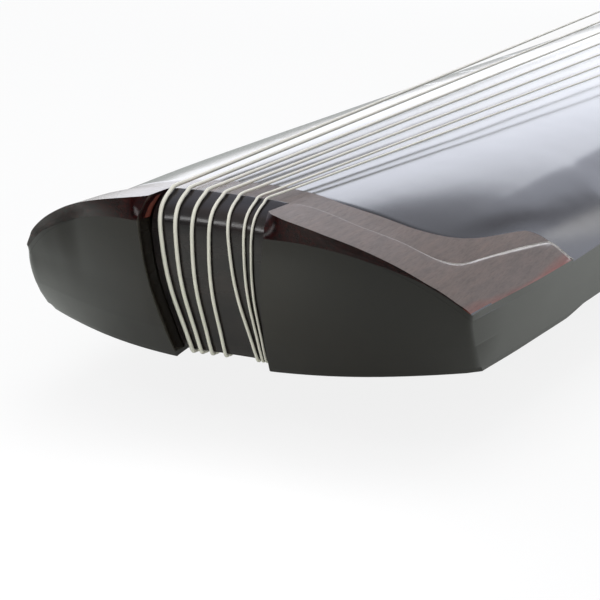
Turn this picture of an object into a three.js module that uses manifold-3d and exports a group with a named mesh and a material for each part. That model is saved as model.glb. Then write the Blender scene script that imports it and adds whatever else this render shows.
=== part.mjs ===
// Guqin: a seven-string zither, seen here as its separate pieces.
// Millimetres, +Z up. The tail is at -X, the bridge at +X, the player sits at -Y.
// "u" is the distance from the gum line, where the strings leave the tail, towards the head.
// "h" is the height above the underside of the tail supports.
import * as THREE from 'three';
import { mergeVertices } from 'three/addons/utils/BufferGeometryUtils.js';
import Module from 'manifold-3d';

const wasm = await Module();
wasm.setup();

// Driving dimensions of the whole instrument
const stringLength = 1112;
const headLength = 88;
const fit = 0.3;
const overrun = 5;

// Height of the body above the table, down to the tail supports
const tableClearance = 28;

// Plan outline: half widths of the body
const tailHalf = 74.6;
const behindTailHalf = 76;
const tongueHalf = 80.2;
const tongueTipHalf = 82.8;
const aboveTailHalf = 85;
const belowWaistHalf = 86.2;
const waistTailHalf = 81.5;
const waistMidHalf = 82;
const waistHeadHalf = 86.5;
const aboveWaistHalf = 91;
const bellyHalf = 95.5;
const shoulderHalf = 100;
const shoulderTurnHalf = 98.5;
const shoulderSlopeHalf = 86;
const neckHalf = 79.5;
const neckHeadHalf = 80;
const cheekHalf = 87;
const headHalf = 89;
const headEndHalf = 88;
const headCorner = 6;

// How far the sides of the tail lean out at the bottom
const farLean = 0.7;
const nearLean = -3;

// Side view: height of the crown of the arch and of its edge
const tailCentre = 53.5;
const waistCentre = 54.5;
const shoulderCentre = 55.5;
const bridgeCentre = 53.5;
const headCentre = 50;
const tailEdge = 23.4;
const waistEdge = 25;
const headEdge = 27;
const archPower = 2.95;

// Boards
const supportThickness = 2;
const bottomThickness = 9;
const lacquerDrop = 1.1;
const ceilingShare = 0.72;
const wallShare = 0.808;

// Tail: the two end faces, the recess between them and the crown corners on top
const endForward = 1;
const endSetback = 38;
const endLeanInner = 25;
const endLeanOuter = 23;
const endBellyPowerInner = 1.9;
const endBellyPowerOuter = 1.1;
const recessTopHalf = 21;
const recessBottomHalf = 15.4;
const recessBottomShift = 1;
const innerShare = 0.262;
const crownReach = 121;
const crownLip = 8.3;
const crownInnerThickness = 7;
const crownOuterThickness = 2.5;

// Lines along the body, as shares of its half width. For each line: the two edges drawn across
// them, as shares of the reach of the crown corners, and how far their front overhangs the end face,
// as a share of the largest overhang
const lineShares = [0, 0.262, 0.305, 0.455, 0.54, 0.63, 0.735, 0.80, 0.845, 0.866, 0.893, 0.913, 0.961, 1];
const tongueEdgeShares = [
  0.012, 0.023, 0.043, 0.040, 0.044, 0.083, 0.145, 0.190, 0.264, 0.463, 0.760, 0.927, 0.967, 1,
];
const bandEdgeShares = [
  0.252, 0.223, 0.212, 0.198, 0.223, 0.260, 0.374, 0.591, 0.876, 0.900, 0.934, 0.945, 0.984, 1.020,
];
const lipShares = [0, -0.35, -0.10, 0.87, 0.99, 1, 0.88, 0.73, 0.60, 0.53, 0.43, 0.35, 0.15, 0.05];
const bandTipShare = 0.913;

// Gum: its front section in u and h, from the back of the top round to the toe
const gumTop = 53.5;
const gumTopBack = 1.2;
const gumStep = 46.2;
const gumBack = 16;
const gumToe = 9;
const gumBulge = 11.6;
const gumHalfLimit = 19.2;
const gumFrontShares = [
  [0, 1], [-0.30, 0.993], [-0.60, 0.977], [-0.845, 0.943], [-0.965, 0.890], [-1, 0.829],
  [-0.98, 0.751], [-0.89, 0.637], [-0.74, 0.522], [-0.49, 0.398], [-0.17, 0.279],
  [0.21, 0.164], [0.60, 0.055], [0.86, 0],
];
const gumSupportLength = 24;
const gumSupportHalf = 13.8;
const gumSupportHeight = 5;

// Tail supports under the corners
const supportReach = 125;
const supportRun = 27;
const supportGrooveHalf = 26;
const supportSideInset = 0.2;

// Strings, from the thickest, on the far side, to the thinnest
const stringRadii = [0.65, 0.61, 0.57, 0.53, 0.48, 0.42, 0.39];
const stringSides = 6;
const gumSpread = 17.2;
const gumTopShares = [1, 0.69, 0.35, 0.02, -0.27, -0.605, -0.762];
const toeSpread = 13.5;
const toeShift = 2.3;
const underSpreadShare = 0.07;
const gumToeShares = [1, 0.78, 0.52, 0.18, -0.61, -0.725, -0.815];
const bridgeSpread = 60;
const turnsPerString = 2;
const stepsPerTurn = 24;
const turnGap = 0.5;
const knotRadius = 1.9;
const knotLength = 3.6;
const farStrings = 4;
const bend = 1.5;

// Goose feet
const footShare = 0.292;
const footSpread = 48;
const footNeckRadius = 9.5;
const footCollarRadius = 12.5;
const footCollar = 1.2;
const footShoeRadius = 14;
const footShoeHeight = 5.4;
const footFlare = 1.6;
const footSoleRadius = 12.8;
const tenonRadius = 7.5;
const tenonLength = 18;
const footBlockHalf = 14;
const footBlockHeight = 11;

// Bridge and dew collector at the head
const bridgeWidth = 12;
const bridgeEnd = 10;
const bridgeHalf = bridgeSpread + bridgeEnd;
const bridgeHeight = 66;
const bridgeTopDrop = 2;
const bridgeRound = 2.5;
const dewWidth = 25;
const dewThickness = 4;
const cordHoleRadius = 2.6;
const holeSides = 8;

// Peg pool, pegs and guards
const poolMargin = 2.4;
const poolLength = 31;
const poolDepth = 24;
const poolPlate = 3;
const pegTopRadius = 7.6;
const poolHalf = bridgeSpread + pegTopRadius + poolMargin;
const pegWaistRadius = 4.6;
const pegBodyRadius = 6.8;
const pegBottomRadius = 3.2;
const pegLength = 42;
const pegBoreRadius = 2;
const pegBoreDepth = 16;
const pegTopThickness = 3;
const pegWaistLength = 5;
const pegSides = 12;
const cordRadius = 1.2;
const cordInPeg = 10;
const guardThickness = 9;
const guardLength = 46;
const guardFoot = 34;
const guardBellyShare = 0.55;
const pegBellyShares = [[0.85, 0.86], [1, 0.6], [0.9, 0.35]];
const cordSlopeShares = [[0.35, 0.2], [0.85, 0.62]];

// Sound posts and openings in the bottom board
const roundPostShare = 0.775;
const squarePostShare = 0.45;
const postRadius = 8;
const dragonPoolShare = 0.585;
const dragonPoolLength = 210;
const phoenixPondShare = 0.19;
const phoenixPondLength = 105;
const soundHoleHalf = 14;

// Studs of the scale
const studShares = [
  1 / 8, 1 / 6, 1 / 5, 1 / 4, 1 / 3, 2 / 5, 1 / 2, 3 / 5, 2 / 3, 3 / 4, 4 / 5, 5 / 6, 7 / 8,
];
const smallStudRadius = 2.6;
const largeStudRadius = 4.8;
const studThickness = 1;
const studOffset = 12;
const studSides = 12;

// Materials
const rosewood = new THREE.MeshStandardMaterial({ color: 0x5a3a30, roughness: 0.45, metalness: 0 });
const lacquer = new THREE.MeshStandardMaterial({ color: 0x17171a, roughness: 0.12, metalness: 0 });
const darkHardwood = new THREE.MeshStandardMaterial({ color: 0x1e191b, roughness: 0.3, metalness: 0 });
const bareWood = new THREE.MeshStandardMaterial({ color: 0xb08a5a, roughness: 0.8, metalness: 0 });
const windingCream = new THREE.MeshStandardMaterial({ color: 0xe2ddca, roughness: 0.45, metalness: 0 });
const cordSilk = new THREE.MeshStandardMaterial({ color: 0x5c1a1c, roughness: 0.85, metalness: 0 });
const shell = new THREE.MeshStandardMaterial({ color: 0xe6e6de, roughness: 0.2, metalness: 0 });

// Curve helpers

// Smooth height through knots that keeps every rise and fall where the knots have it
function through(knots, x) {
  const last = knots.length - 1;
  if (x <= knots[0][0]) return knots[0][1];
  if (x >= knots[last][0]) return knots[last][1];
  const slope = (i) => (knots[i + 1][1] - knots[i][1]) / (knots[i + 1][0] - knots[i][0]);
  const tangent = (i) => {
    if (i === 0 || i === last) return 0;
    const before = slope(i - 1);
    const after = slope(i);
    return before * after > 0 ? 2 * before * after / (before + after) : 0;
  };
  const i = knots.findIndex((knot, n) => n < last && x < knots[n + 1][0]);
  const span = knots[i + 1][0] - knots[i][0];
  const t = (x - knots[i][0]) / span;
  const rise = t * t * (3 - 2 * t);
  const startPull = t * (1 - t) * (1 - t) * span;
  const endPull = -t * t * (1 - t) * span;
  return knots[i][1] + (knots[i + 1][1] - knots[i][1]) * rise
    + tangent(i) * startPull + tangent(i + 1) * endPull;
}

// Share of the way from the recess out to the side
function outwardShare(v) {
  return Math.max(0, (Math.abs(v) - innerShare) / (1 - innerShare));
}

function smooth(x, from, to) {
  const t = THREE.MathUtils.clamp((x - from) / (to - from), 0, 1);
  return t * t * (3 - 2 * t);
}

const mix = THREE.MathUtils.lerp;

// Outline of the body

const headEndShare = (stringLength + headLength) / stringLength;
const tongueShare = 0.072;
const waistShare = 0.192;
const outlineKnots = [
  [0.0135, tailHalf], [0.031, behindTailHalf], [tongueShare, tongueHalf], [0.11, tongueTipHalf],
  [0.16, aboveTailHalf], [waistShare, belowWaistHalf], [0.203, waistTailHalf], [0.30, waistMidHalf],
  [0.392, waistHeadHalf], [0.405, aboveWaistHalf], [0.60, bellyHalf], [0.80, shoulderHalf],
  [0.825, shoulderTurnHalf], [0.86, shoulderSlopeHalf], [0.90, neckHalf], [0.945, neckHeadHalf],
  [0.985, cheekHalf], [1.03, headHalf], [headEndShare, headEndHalf],
];
const centreKnots = [
  [0.1, tailCentre], [0.4, waistCentre], [0.8, shoulderCentre], [1, bridgeCentre],
  [headEndShare, headCentre],
];
const edgeKnots = [[0.1, tailEdge], [0.4, waistEdge], [0.9, headEdge]];

// Half width of one side, which leans at the tail below its upper edge
function halfWidth(u, side, h = tailEdge) {
  const share = u / stringLength;
  const lean = (side > 0 ? farLean : nearLean) * (1 - smooth(share, tongueShare, waistShare));
  const corner = Math.max(0, u - (stringLength + headLength - headCorner));
  return through(outlineKnots, share) + lean * Math.max(0, 1 - h / tailEdge) - corner * corner / headCorner;
}

// Crown level of the arch at share v of the half width
function archHeight(u, v) {
  const share = u / stringLength;
  const centre = through(centreKnots, share);
  return centre - (centre - through(edgeKnots, share)) * Math.pow(Math.min(Math.abs(v), 1), archPower);
}

const boardTop = (u, v) => archHeight(u, v) - lacquerDrop;

// Half width of the recess in the tail, narrower towards the bottom, where it lies towards the near side
function recessHalf(h, side) {
  return mix(recessBottomHalf - side * recessBottomShift, recessTopHalf, h / archHeight(0, innerShare));
}

// Share of an end face's lean at height h under a top, which bellies by power
function leanShare(h, top, power) {
  const rise = THREE.MathUtils.clamp(h / (top - lacquerDrop), 0, 1);
  return 1 - Math.pow(1 - rise, power);
}

// Half width of the end face at height h
function endHalf(h, side) {
  const corner = endForward + endSetback - endLeanOuter * leanShare(h, tailEdge, endBellyPowerOuter);
  return halfWidth(corner, side, h);
}

// The end face of the tail: set back towards its outer corners, bellied, and leaning under
function endFace(y, h, side) {
  const t = Math.abs(y) / endHalf(h, side);
  const outward = outwardShare(Math.min(t, 1));
  const lean = mix(endLeanInner, endLeanOuter, outward);
  const power = mix(endBellyPowerInner, endBellyPowerOuter, outward);
  return endForward + endSetback * t * t - lean * leanShare(h, archHeight(0, t), power);
}

// Distance from the middle of line v in the front part, where the recess walls lean
function frontY(v, h, half) {
  const side = Math.sign(v);
  const recess = recessHalf(h, side);
  if (Math.abs(v) <= innerShare) return v / innerShare * recess;
  return side * mix(recess, half, outwardShare(v));
}

// The front edge of a crown corner on line v
function lipEdge(v) {
  const h = archHeight(0, v);
  const side = Math.sign(v);
  const y = frontY(v, h, endHalf(h, side));
  return endFace(y, h, side) - crownLip * alongLines(lipShares, v);
}

const tailOverhang = -Math.min(...lineShares.slice(1).map(lipEdge));
const bodyLength = tailOverhang + stringLength + headLength;
const gumX = tailOverhang - bodyLength / 2;
const place = (u, y, h) => new THREE.Vector3(gumX + u, y, tableClearance + h);

// Value of a table over lineShares at share v
function alongLines(table, v) {
  const a = Math.abs(v);
  let i = 0;
  while (i < lineShares.length - 2 && a > lineShares[i + 1]) i += 1;
  const t = (a - lineShares[i]) / (lineShares[i + 1] - lineShares[i]);
  return mix(table[i], table[i + 1], t);
}

const tongueEdge = (v) => crownReach * alongLines(tongueEdgeShares, v);
const bandEdge = (v) => crownReach * alongLines(bandEdgeShares, v);
const crownThickness = (v) => mix(crownInnerThickness, crownOuterThickness, outwardShare(v));

// Lines from the near edge to the far edge
const acrossShares = [...lineShares.slice(1).reverse().map((v) => -v), ...lineShares];

// Solid builders

// A closed solid from a bent grid of cells: point(i, j, k) gives a corner, keep(i, j, k) a cell
function gridSolid(counts, point, keep = () => true) {
  const [ni, nj, nk] = counts;
  const inside = (i, j, k) => i >= 0 && j >= 0 && k >= 0 && i < ni && j < nj && k < nk && keep(i, j, k);
  const ids = new Map();
  const positions = [];
  const index = [];
  const corner = (i, j, k) => {
    const key = (i * (nj + 1) + j) * (nk + 1) + k;
    if (!ids.has(key)) {
      ids.set(key, positions.length / 3);
      positions.push(...point(i, j, k).toArray());
    }
    return ids.get(key);
  };
  const quad = (a, b, c, d) => {
    index.push(a, b, c);
    index.push(a, c, d);
  };
  for (let i = 0; i < ni; i += 1) {
    for (let j = 0; j < nj; j += 1) {
      for (let k = 0; k < nk; k += 1) {
        if (!inside(i, j, k)) continue;
        const at = (di, dj, dk) => corner(i + di, j + dj, k + dk);
        if (!inside(i - 1, j, k)) quad(at(0, 0, 0), at(0, 0, 1), at(0, 1, 1), at(0, 1, 0));
        if (!inside(i + 1, j, k)) quad(at(1, 0, 0), at(1, 1, 0), at(1, 1, 1), at(1, 0, 1));
        if (!inside(i, j - 1, k)) quad(at(0, 0, 0), at(1, 0, 0), at(1, 0, 1), at(0, 0, 1));
        if (!inside(i, j + 1, k)) quad(at(0, 1, 0), at(0, 1, 1), at(1, 1, 1), at(1, 1, 0));
        if (!inside(i, j, k - 1)) quad(at(0, 0, 0), at(0, 1, 0), at(1, 1, 0), at(1, 0, 0));
        if (!inside(i, j, k + 1)) quad(at(0, 0, 1), at(1, 0, 1), at(1, 1, 1), at(0, 1, 1));
      }
    }
  }
  const geometry = new THREE.BufferGeometry();
  geometry.setAttribute('position', new THREE.Float32BufferAttribute(positions, 3));
  geometry.setIndex(index);
  return geometry;
}

function toSolid(source) {
  const bare = source.clone();
  bare.deleteAttribute('normal');
  bare.deleteAttribute('uv');
  const geometry = mergeVertices(bare);
  return new wasm.Manifold(new wasm.Mesh({
    numProp: 3,
    vertProperties: Float32Array.from(geometry.attributes.position.array),
    triVerts: Uint32Array.from(geometry.index.array),
  }));
}

function toGeometry(solid) {
  const mesh = solid.getMesh();
  const geometry = new THREE.BufferGeometry();
  geometry.setAttribute('position', new THREE.Float32BufferAttribute(mesh.vertProperties, 3));
  geometry.setIndex(Array.from(mesh.triVerts));
  return geometry;
}

function cut(geometry, cutters) {
  let solid = toSolid(geometry);
  for (const cutter of cutters) solid = solid.subtract(toSolid(cutter));
  return toGeometry(solid);
}

// A box from its lowest and highest corner in u, y and h
function slab(low, high) {
  const size = place(...high).sub(place(...low));
  const middle = place(...low).addScaledVector(size, 0.5);
  return new THREE.BoxGeometry(size.x, size.y, size.z).translate(...middle.toArray());
}

// An upright cylinder between two heights
function post(u, y, radius, from, to, sides) {
  const centre = place(u, y, (from + to) / 2);
  return new THREE.CylinderGeometry(radius, radius, to - from, sides)
    .rotateX(Math.PI / 2).translate(...centre.toArray());
}

// An upright bar with round ends along the body
function slot(u, length, half, from, to) {
  const shape = new THREE.Shape();
  const straight = length / 2 - half;
  shape.absarc(straight, 0, half, -Math.PI / 2, Math.PI / 2);
  shape.absarc(-straight, 0, half, Math.PI / 2, Math.PI * 1.5);
  const options = { depth: to - from, bevelEnabled: false, curveSegments: 8 };
  return new THREE.ExtrudeGeometry(shape, options).translate(...place(u, 0, from).toArray());
}

// A round tube along points, with flat ends and one radius per point
function tube(points, radii, sides) {
  const positions = [];
  const index = [];
  const tangents = points.map((p, i) => {
    const before = points[Math.max(i - 1, 0)];
    const after = points[Math.min(i + 1, points.length - 1)];
    return after.clone().sub(before).normalize();
  });
  let side = new THREE.Vector3(0, 1, 0);
  points.forEach((p, i) => {
    side = side.addScaledVector(tangents[i], -side.dot(tangents[i])).normalize();
    const up = tangents[i].clone().cross(side);
    for (let n = 0; n < sides; n += 1) {
      const angle = 2 * Math.PI * n / sides;
      const rim = p.clone()
        .addScaledVector(side, radii[i] * Math.cos(angle))
        .addScaledVector(up, radii[i] * Math.sin(angle));
      positions.push(...rim.toArray());
    }
  });
  const at = (ring, n) => ring * sides + (n % sides);
  for (let ring = 0; ring < points.length - 1; ring += 1) {
    for (let n = 0; n < sides; n += 1) {
      index.push(at(ring, n), at(ring, n + 1), at(ring + 1, n + 1));
      index.push(at(ring, n), at(ring + 1, n + 1), at(ring + 1, n));
    }
  }
  const end = points.length - 1;
  for (let n = 1; n < sides - 1; n += 1) {
    index.push(at(0, 0), at(0, n + 1), at(0, n));
    index.push(at(end, 0), at(end, n), at(end, n + 1));
  }
  const geometry = new THREE.BufferGeometry();
  geometry.setAttribute('position', new THREE.Float32BufferAttribute(positions, 3));
  geometry.setIndex(index);
  return geometry;
}

const guqin = new THREE.Group();

function add(name, geometry, material) {
  const mesh = new THREE.Mesh(geometry, material);
  mesh.name = name;
  guqin.add(mesh);
  return mesh;
}

// Stations along the body behind the carved tail, as shares of the string length
const stationShares = [
  0.143, 0.192, 0.203, 0.30, 0.35, 0.392, 0.405, 0.50, 0.65, 0.80,
  0.825, 0.843, 0.86, 0.88, 0.90, 0.945, 0.965, 0.985, 1.03,
];
const stations = [...stationShares.map((share) => share * stringLength),
  stringLength + headLength - headCorner, stringLength + headLength];
const cornerStation = 50;
const coreStep = 2;

// Distance along the body of the line between the end face and the rebate
const coreLine = (v) => mix(gumBack + fit, cornerStation, outwardShare(v) ** 2) + coreStep;

// Far edge of the rebate: behind the tail plate, and beside its tip behind the crown corner
const rebateEdge = (v) => (Math.abs(v) > bandTipShare ? tongueEdge(v) : bandEdge(v)) + fit;

// Row i of a board's line v behind its end face: the core line, the rebate, the stations
function rowPlace(i, v) {
  if (i === 1) return coreLine(v);
  if (i === 2) return rebateEdge(v);
  if (i === 3) return (rebateEdge(v) + stations[0]) / 2;
  return stations[i - 4];
}

function boardPoint(i, v, h) {
  const side = Math.sign(v);
  if (i === 0) {
    const y = frontY(v, h, endHalf(h, side));
    return place(Math.abs(v) < innerShare ? gumBack + fit : endFace(y, h, side), y, h);
  }
  const u = rowPlace(i, v);
  const half = halfWidth(u, side, h);
  return place(u, i === 1 ? frontY(v, h, half) : v * half, h);
}

// Boards

const seam = supportThickness + bottomThickness;
const rebateFloor = (u, v) => archHeight(u, v) - crownThickness(v) - fit;
const ceiling = (u, v) => mix(seam, boardTop(u, v), ceilingShare);
const studs = studShares.map((share, i) => {
  const u = stringLength * (1 - share);
  const middle = (studShares.length - 1) / 2;
  const radius = mix(largeStudRadius, smallStudRadius, Math.abs(i - middle) / middle);
  const y = mix(gumSpread, bridgeSpread, u / stringLength) + studOffset;
  return { u, y, radius };
});

// A stud's place on the board, turned to the arch there
function studGeometry(stud, radius, from, to) {
  const v = stud.y / halfWidth(stud.u, 1);
  const step = stud.radius / halfWidth(stud.u, 1);
  const drop = boardTop(stud.u, v + step) - boardTop(stud.u, v - step);
  const tilt = Math.atan2(drop, 2 * stud.radius);
  const centre = place(stud.u, stud.y, boardTop(stud.u, v));
  return new THREE.CylinderGeometry(radius, radius, to - from, studSides)
    .rotateX(Math.PI / 2).translate(0, 0, (from + to) / 2)
    .rotateX(tilt).translate(...centre.toArray());
}

const pegU = stringLength + bridgeWidth + dewWidth / 2;
const stringNumbers = stringRadii.map((radius, i) => i);
const bridgeY = (i) => bridgeSpread * (1 - 2 * i / (stringRadii.length - 1));
const poolCeiling = supportThickness + poolDepth;

function topBoard() {
  const heights = [
    () => seam,
    (u, v) => ceiling(u, v),
    (u, v) => rebateFloor(u, v),
    (u, v) => boardTop(u, v),
  ];
  const lastRow = stations.length + 3;
  const point = (i, j, k) => {
    const v = acrossShares[j];
    const guess = i < 2 ? 0 : rowPlace(i, v);
    return boardPoint(i, v, heights[k](guess, v));
  };
  const keep = (i, j, k) => {
    const v = (acrossShares[j] + acrossShares[j + 1]) / 2;
    const front = i < 2 && k === 2;
    const recess = i === 0 && Math.abs(v) < innerShare;
    const hollow = k === 0 && Math.abs(v) < wallShare && i >= 4 && i < lastRow - 6;
    return !(front || recess || hollow);
  };
  const body = gridSolid([lastRow, acrossShares.length - 1, 3], point, keep);
  const pool = slab([pegU - poolLength / 2, -poolHalf, seam - overrun],
    [pegU + poolLength / 2, poolHalf, poolCeiling]);
  const holes = stringNumbers.map((i) => post(pegU, bridgeY(i), cordHoleRadius,
    poolCeiling - overrun, tailCentre + overrun, holeSides));
  const pockets = studs.map((stud) => studGeometry(stud, stud.radius + fit,
    -studThickness - fit, studThickness));
  return cut(body, [pool, ...holes, ...pockets]);
}

const plainShares = [-1, -0.808, -0.63, -0.455, -0.262, 0, 0.262, 0.455, 0.63, 0.808, 1];
const footU = footShare * stringLength;

function bottomBoard() {
  const point = (i, j, k) => boardPoint(i, plainShares[j], k === 0 ? supportThickness : seam);
  const keep = (i, j) => !(i === 0 && Math.abs(plainShares[j] + plainShares[j + 1]) / 2 < innerShare);
  const body = gridSolid([stations.length + 3, plainShares.length - 1, 1], point, keep);
  const low = supportThickness - overrun;
  const high = seam + overrun;
  const cutters = [
    slot(dragonPoolShare * stringLength, dragonPoolLength, soundHoleHalf, low, high),
    slot(phoenixPondShare * stringLength, phoenixPondLength, soundHoleHalf, low, high),
    slab([pegU - poolLength / 2, -poolHalf, low], [pegU + poolLength / 2, poolHalf, high]),
    slab([0, -gumSupportHalf - fit, low],
      [gumBack + gumSupportLength + fit, gumSupportHalf + fit, supportThickness + gumSupportHeight + fit]),
  ];
  for (const side of [-1, 1]) cutters.push(post(footU, side * footSpread, tenonRadius + fit, low, high, 20));
  return cut(body, cutters);
}

add('top_board', topBoard(), lacquer);
add('bottom_board', bottomBoard(), lacquer);

// Crown corners, tail plate, gum and supports

const cornerShares = lineShares.filter((v) => v >= innerShare);
const crownSteps = 3;

function crownCorner(side) {
  const shares = side > 0 ? cornerShares : [...cornerShares].reverse();
  const point = (i, j, k) => {
    const v = side * shares[j];
    const h = archHeight(0, v) - (k === 0 ? crownThickness(v) : 0);
    const start = frontY(v, h, endHalf(h, side));
    const front = k === 0 ? endFace(start, h, side) : lipEdge(v);
    const u = mix(front, tongueEdge(v), i / crownSteps);
    const y = mix(start, v * halfWidth(tongueEdge(v), side), i / crownSteps);
    const edge = v * halfWidth(u, side);
    return place(u, Math.abs(v) === 1 ? edge : y, h);
  };
  return gridSolid([crownSteps, shares.length - 1, 1], point);
}

const bandShares = acrossShares.filter((v) => Math.abs(v) <= bandTipShare);

function tailPlate() {
  const point = (i, j, k) => {
    const v = bandShares[j];
    const front = Math.abs(v) < innerShare ? gumTopBack : tongueEdge(v);
    const u = mix(front + fit, bandEdge(v), i / 2);
    const h = archHeight(0, v) - (k === 0 ? crownThickness(v) : lacquerDrop);
    return place(u, v * halfWidth(u, Math.sign(v)), h);
  };
  return gridSolid([2, bandShares.length - 1, 1], point);
}

const gumFront = gumFrontShares.map(([across, up]) => [
  across * (across > 0 ? gumToe : gumBulge),
  mix(supportThickness, gumTop, up),
]);

// Outline of the gum in u and h at share w of its width
function gumSection(w) {
  const sag = archHeight(0, 0) - archHeight(0, w * innerShare);
  const top = gumTop - sag;
  const outline = gumFront.map(([u, h]) => [u, h > gumStep ? h - sag : h]);
  const step = gumStep - sag;
  return [[gumTopBack, top], ...outline, [gumBack, supportThickness], [gumBack, step], [gumTopBack, step]];
}

function dragonGum() {
  const across = [-1, -0.5, 0, 0.5, 1];
  const rings = across.map((w) => gumSection(w).map(([u, h]) => {
    const half = Math.min(recessHalf(h, Math.sign(w)) - fit, gumHalfLimit);
    return place(u, w * half, h);
  }));
  const count = rings[0].length;
  const contour = rings[0].map((p) => new THREE.Vector2(p.x, p.z));
  const caps = THREE.ShapeUtils.triangulateShape(contour, []);
  const turning = THREE.ShapeUtils.area(contour) > 0 ? 1 : -1;
  const index = [];
  const face = (a, b, c) => index.push(...(turning > 0 ? [a, b, c] : [a, c, b]));
  for (let r = 0; r < rings.length - 1; r += 1) {
    for (let n = 0; n < count; n += 1) {
      const m = (n + 1) % count;
      face(r * count + m, r * count + n, (r + 1) * count + n);
      face(r * count + m, (r + 1) * count + n, (r + 1) * count + m);
    }
  }
  const far = (rings.length - 1) * count;
  const turned = ([a, b, c]) => {
    const area = THREE.ShapeUtils.area([contour[a], contour[b], contour[c]]);
    return area * turning > 0 ? [a, b, c] : [a, c, b];
  };
  caps.map(turned).forEach(([a, b, c]) => {
    face(a, b, c);
    face(far + a, far + c, far + b);
  });
  const geometry = new THREE.BufferGeometry();
  const positions = rings.flat().flatMap((p) => p.toArray());
  geometry.setAttribute('position', new THREE.Float32BufferAttribute(positions, 3));
  geometry.setIndex(index);
  return geometry;
}

function tailSupport(side) {
  const shares = [0, 0.25, 0.5, 0.75, 1];
  const rows = [0, 0.4, 1];
  const order = side > 0 ? shares : [...shares].reverse();
  const point = (i, j, k) => {
    const share = order[j];
    const h = k * supportThickness;
    const reach = supportReach + k * supportRun;
    const inner = recessHalf(h, side);
    const start = endFace(mix(inner, endHalf(h, side), share), h, side);
    const u = mix(start, reach, rows[i]);
    const groove = i === 0 ? inner : mix(inner, supportGrooveHalf, u / supportReach);
    return place(u, side * mix(groove, halfWidth(u, side, h) - supportSideInset * k, share), h);
  };
  return gridSolid([rows.length - 1, shares.length - 1, 1], point);
}

add('crown_corner_far', crownCorner(1), rosewood);
add('crown_corner_near', crownCorner(-1), rosewood);
add('tail_plate', tailPlate(), rosewood);
add('dragon_gum', dragonGum(), darkHardwood);
add('gum_support', slab([gumBack + fit, -gumSupportHalf, supportThickness],
  [gumBack + gumSupportLength, gumSupportHalf, supportThickness + gumSupportHeight]), darkHardwood);
add('tail_support_far', tailSupport(1), darkHardwood);
add('tail_support_near', tailSupport(-1), darkHardwood);

// Bridge and dew collector follow the arch of the board under them

const barSteps = 16;

function archedBar(from, to, half, top, round) {
  const along = [0, round / (to - from), 1 - round / (to - from), 1];
  const point = (i, j, k) => {
    const u = mix(from, to, along[i]);
    const y = mix(-half, half, j / barSteps);
    const board = boardTop(u, y / halfWidth(u, 1));
    const eased = i === 0 || i === along.length - 1 ? round : 0;
    const h = k === 0 ? board + fit : top(u, y, board) - eased;
    return place(u, y, h);
  };
  return gridSolid([along.length - 1, barSteps, 1], point);
}

const bridgeTop = (y) => bridgeHeight - bridgeTopDrop * (y / bridgeHalf) ** 2;
add('bridge', archedBar(stringLength, stringLength + bridgeWidth, bridgeHalf,
  (u, y) => bridgeTop(y), bridgeRound), rosewood);
const dewBar = archedBar(stringLength + bridgeWidth + fit, stringLength + bridgeWidth + dewWidth, bridgeHalf,
  (u, y, board) => board + fit + dewThickness, dewThickness / 2);
add('dew_collector', cut(dewBar, stringNumbers.map((i) => post(pegU, bridgeY(i), cordHoleRadius,
  seam, bridgeHeight, holeSides))), rosewood);

// Peg pool lining, guards and pegs

const plateSlab = slab([pegU - poolLength / 2 + fit, -poolHalf + fit, poolCeiling - poolPlate],
  [pegU + poolLength / 2 - fit, poolHalf - fit, poolCeiling]);
add('peg_pool_plate', cut(plateSlab, stringNumbers.map((i) => post(pegU, bridgeY(i), cordHoleRadius,
  seam, bridgeHeight, holeSides))), rosewood);

function pegGuard(side) {
  const shape = new THREE.Shape();
  const half = guardLength / 2;
  const footHalf = guardFoot / 2;
  const drop = supportThickness + tableClearance;
  shape.moveTo(-half, 0);
  shape.quadraticCurveTo(-half, -drop * guardBellyShare, -footHalf, -drop);
  shape.lineTo(footHalf, -drop);
  shape.quadraticCurveTo(half, -drop * guardBellyShare, half, 0);
  const options = { depth: guardThickness, bevelEnabled: false, curveSegments: 8 };
  const geometry = new THREE.ExtrudeGeometry(shape, options);
  geometry.rotateX(Math.PI / 2).translate(0, guardThickness, 0);
  const y = side > 0 ? poolHalf + fit : -poolHalf - fit - guardThickness;
  return geometry.translate(...place(pegU, y, supportThickness).toArray());
}

add('peg_guard_far', pegGuard(1), rosewood);
add('peg_guard_near', pegGuard(-1), rosewood);

const pegTop = poolCeiling - poolPlate - fit;
const pegBoreStep = 1;

// A turned peg, fluted along its body and bored from the top
function tuningPeg() {
  const outline = [
    [0, -pegLength], [pegBottomRadius, -pegLength],
    ...pegBellyShares.map(([wide, low]) => [pegBodyRadius * wide, -pegLength * low]),
    [pegWaistRadius, -pegTopThickness - pegWaistLength], [pegWaistRadius, -pegTopThickness - pegBoreStep],
    [pegTopRadius, -pegTopThickness], [pegTopRadius, 0], [pegBoreRadius, 0],
    [pegBoreRadius, -pegBoreDepth], [0, -pegBoreDepth],
  ];
  const points = outline.map(([r, h]) => new THREE.Vector2(r, h));
  return new THREE.LatheGeometry(points, pegSides).rotateX(Math.PI / 2);
}

for (const i of stringNumbers) {
  const peg = add(`tuning_peg_${i + 1}`, tuningPeg(), rosewood);
  peg.position.copy(place(pegU, bridgeY(i), pegTop));
}

// Sound posts and the blocks that hold the feet

add('sound_post_round', post(roundPostShare * stringLength, 0, postRadius, seam,
  ceiling(roundPostShare * stringLength, 0) - fit, 20), bareWood);
const squareU = squarePostShare * stringLength;
add('sound_post_square', slab([squareU - postRadius, -postRadius, seam],
  [squareU + postRadius, postRadius, ceiling(squareU, 0) - fit]), bareWood);

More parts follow.
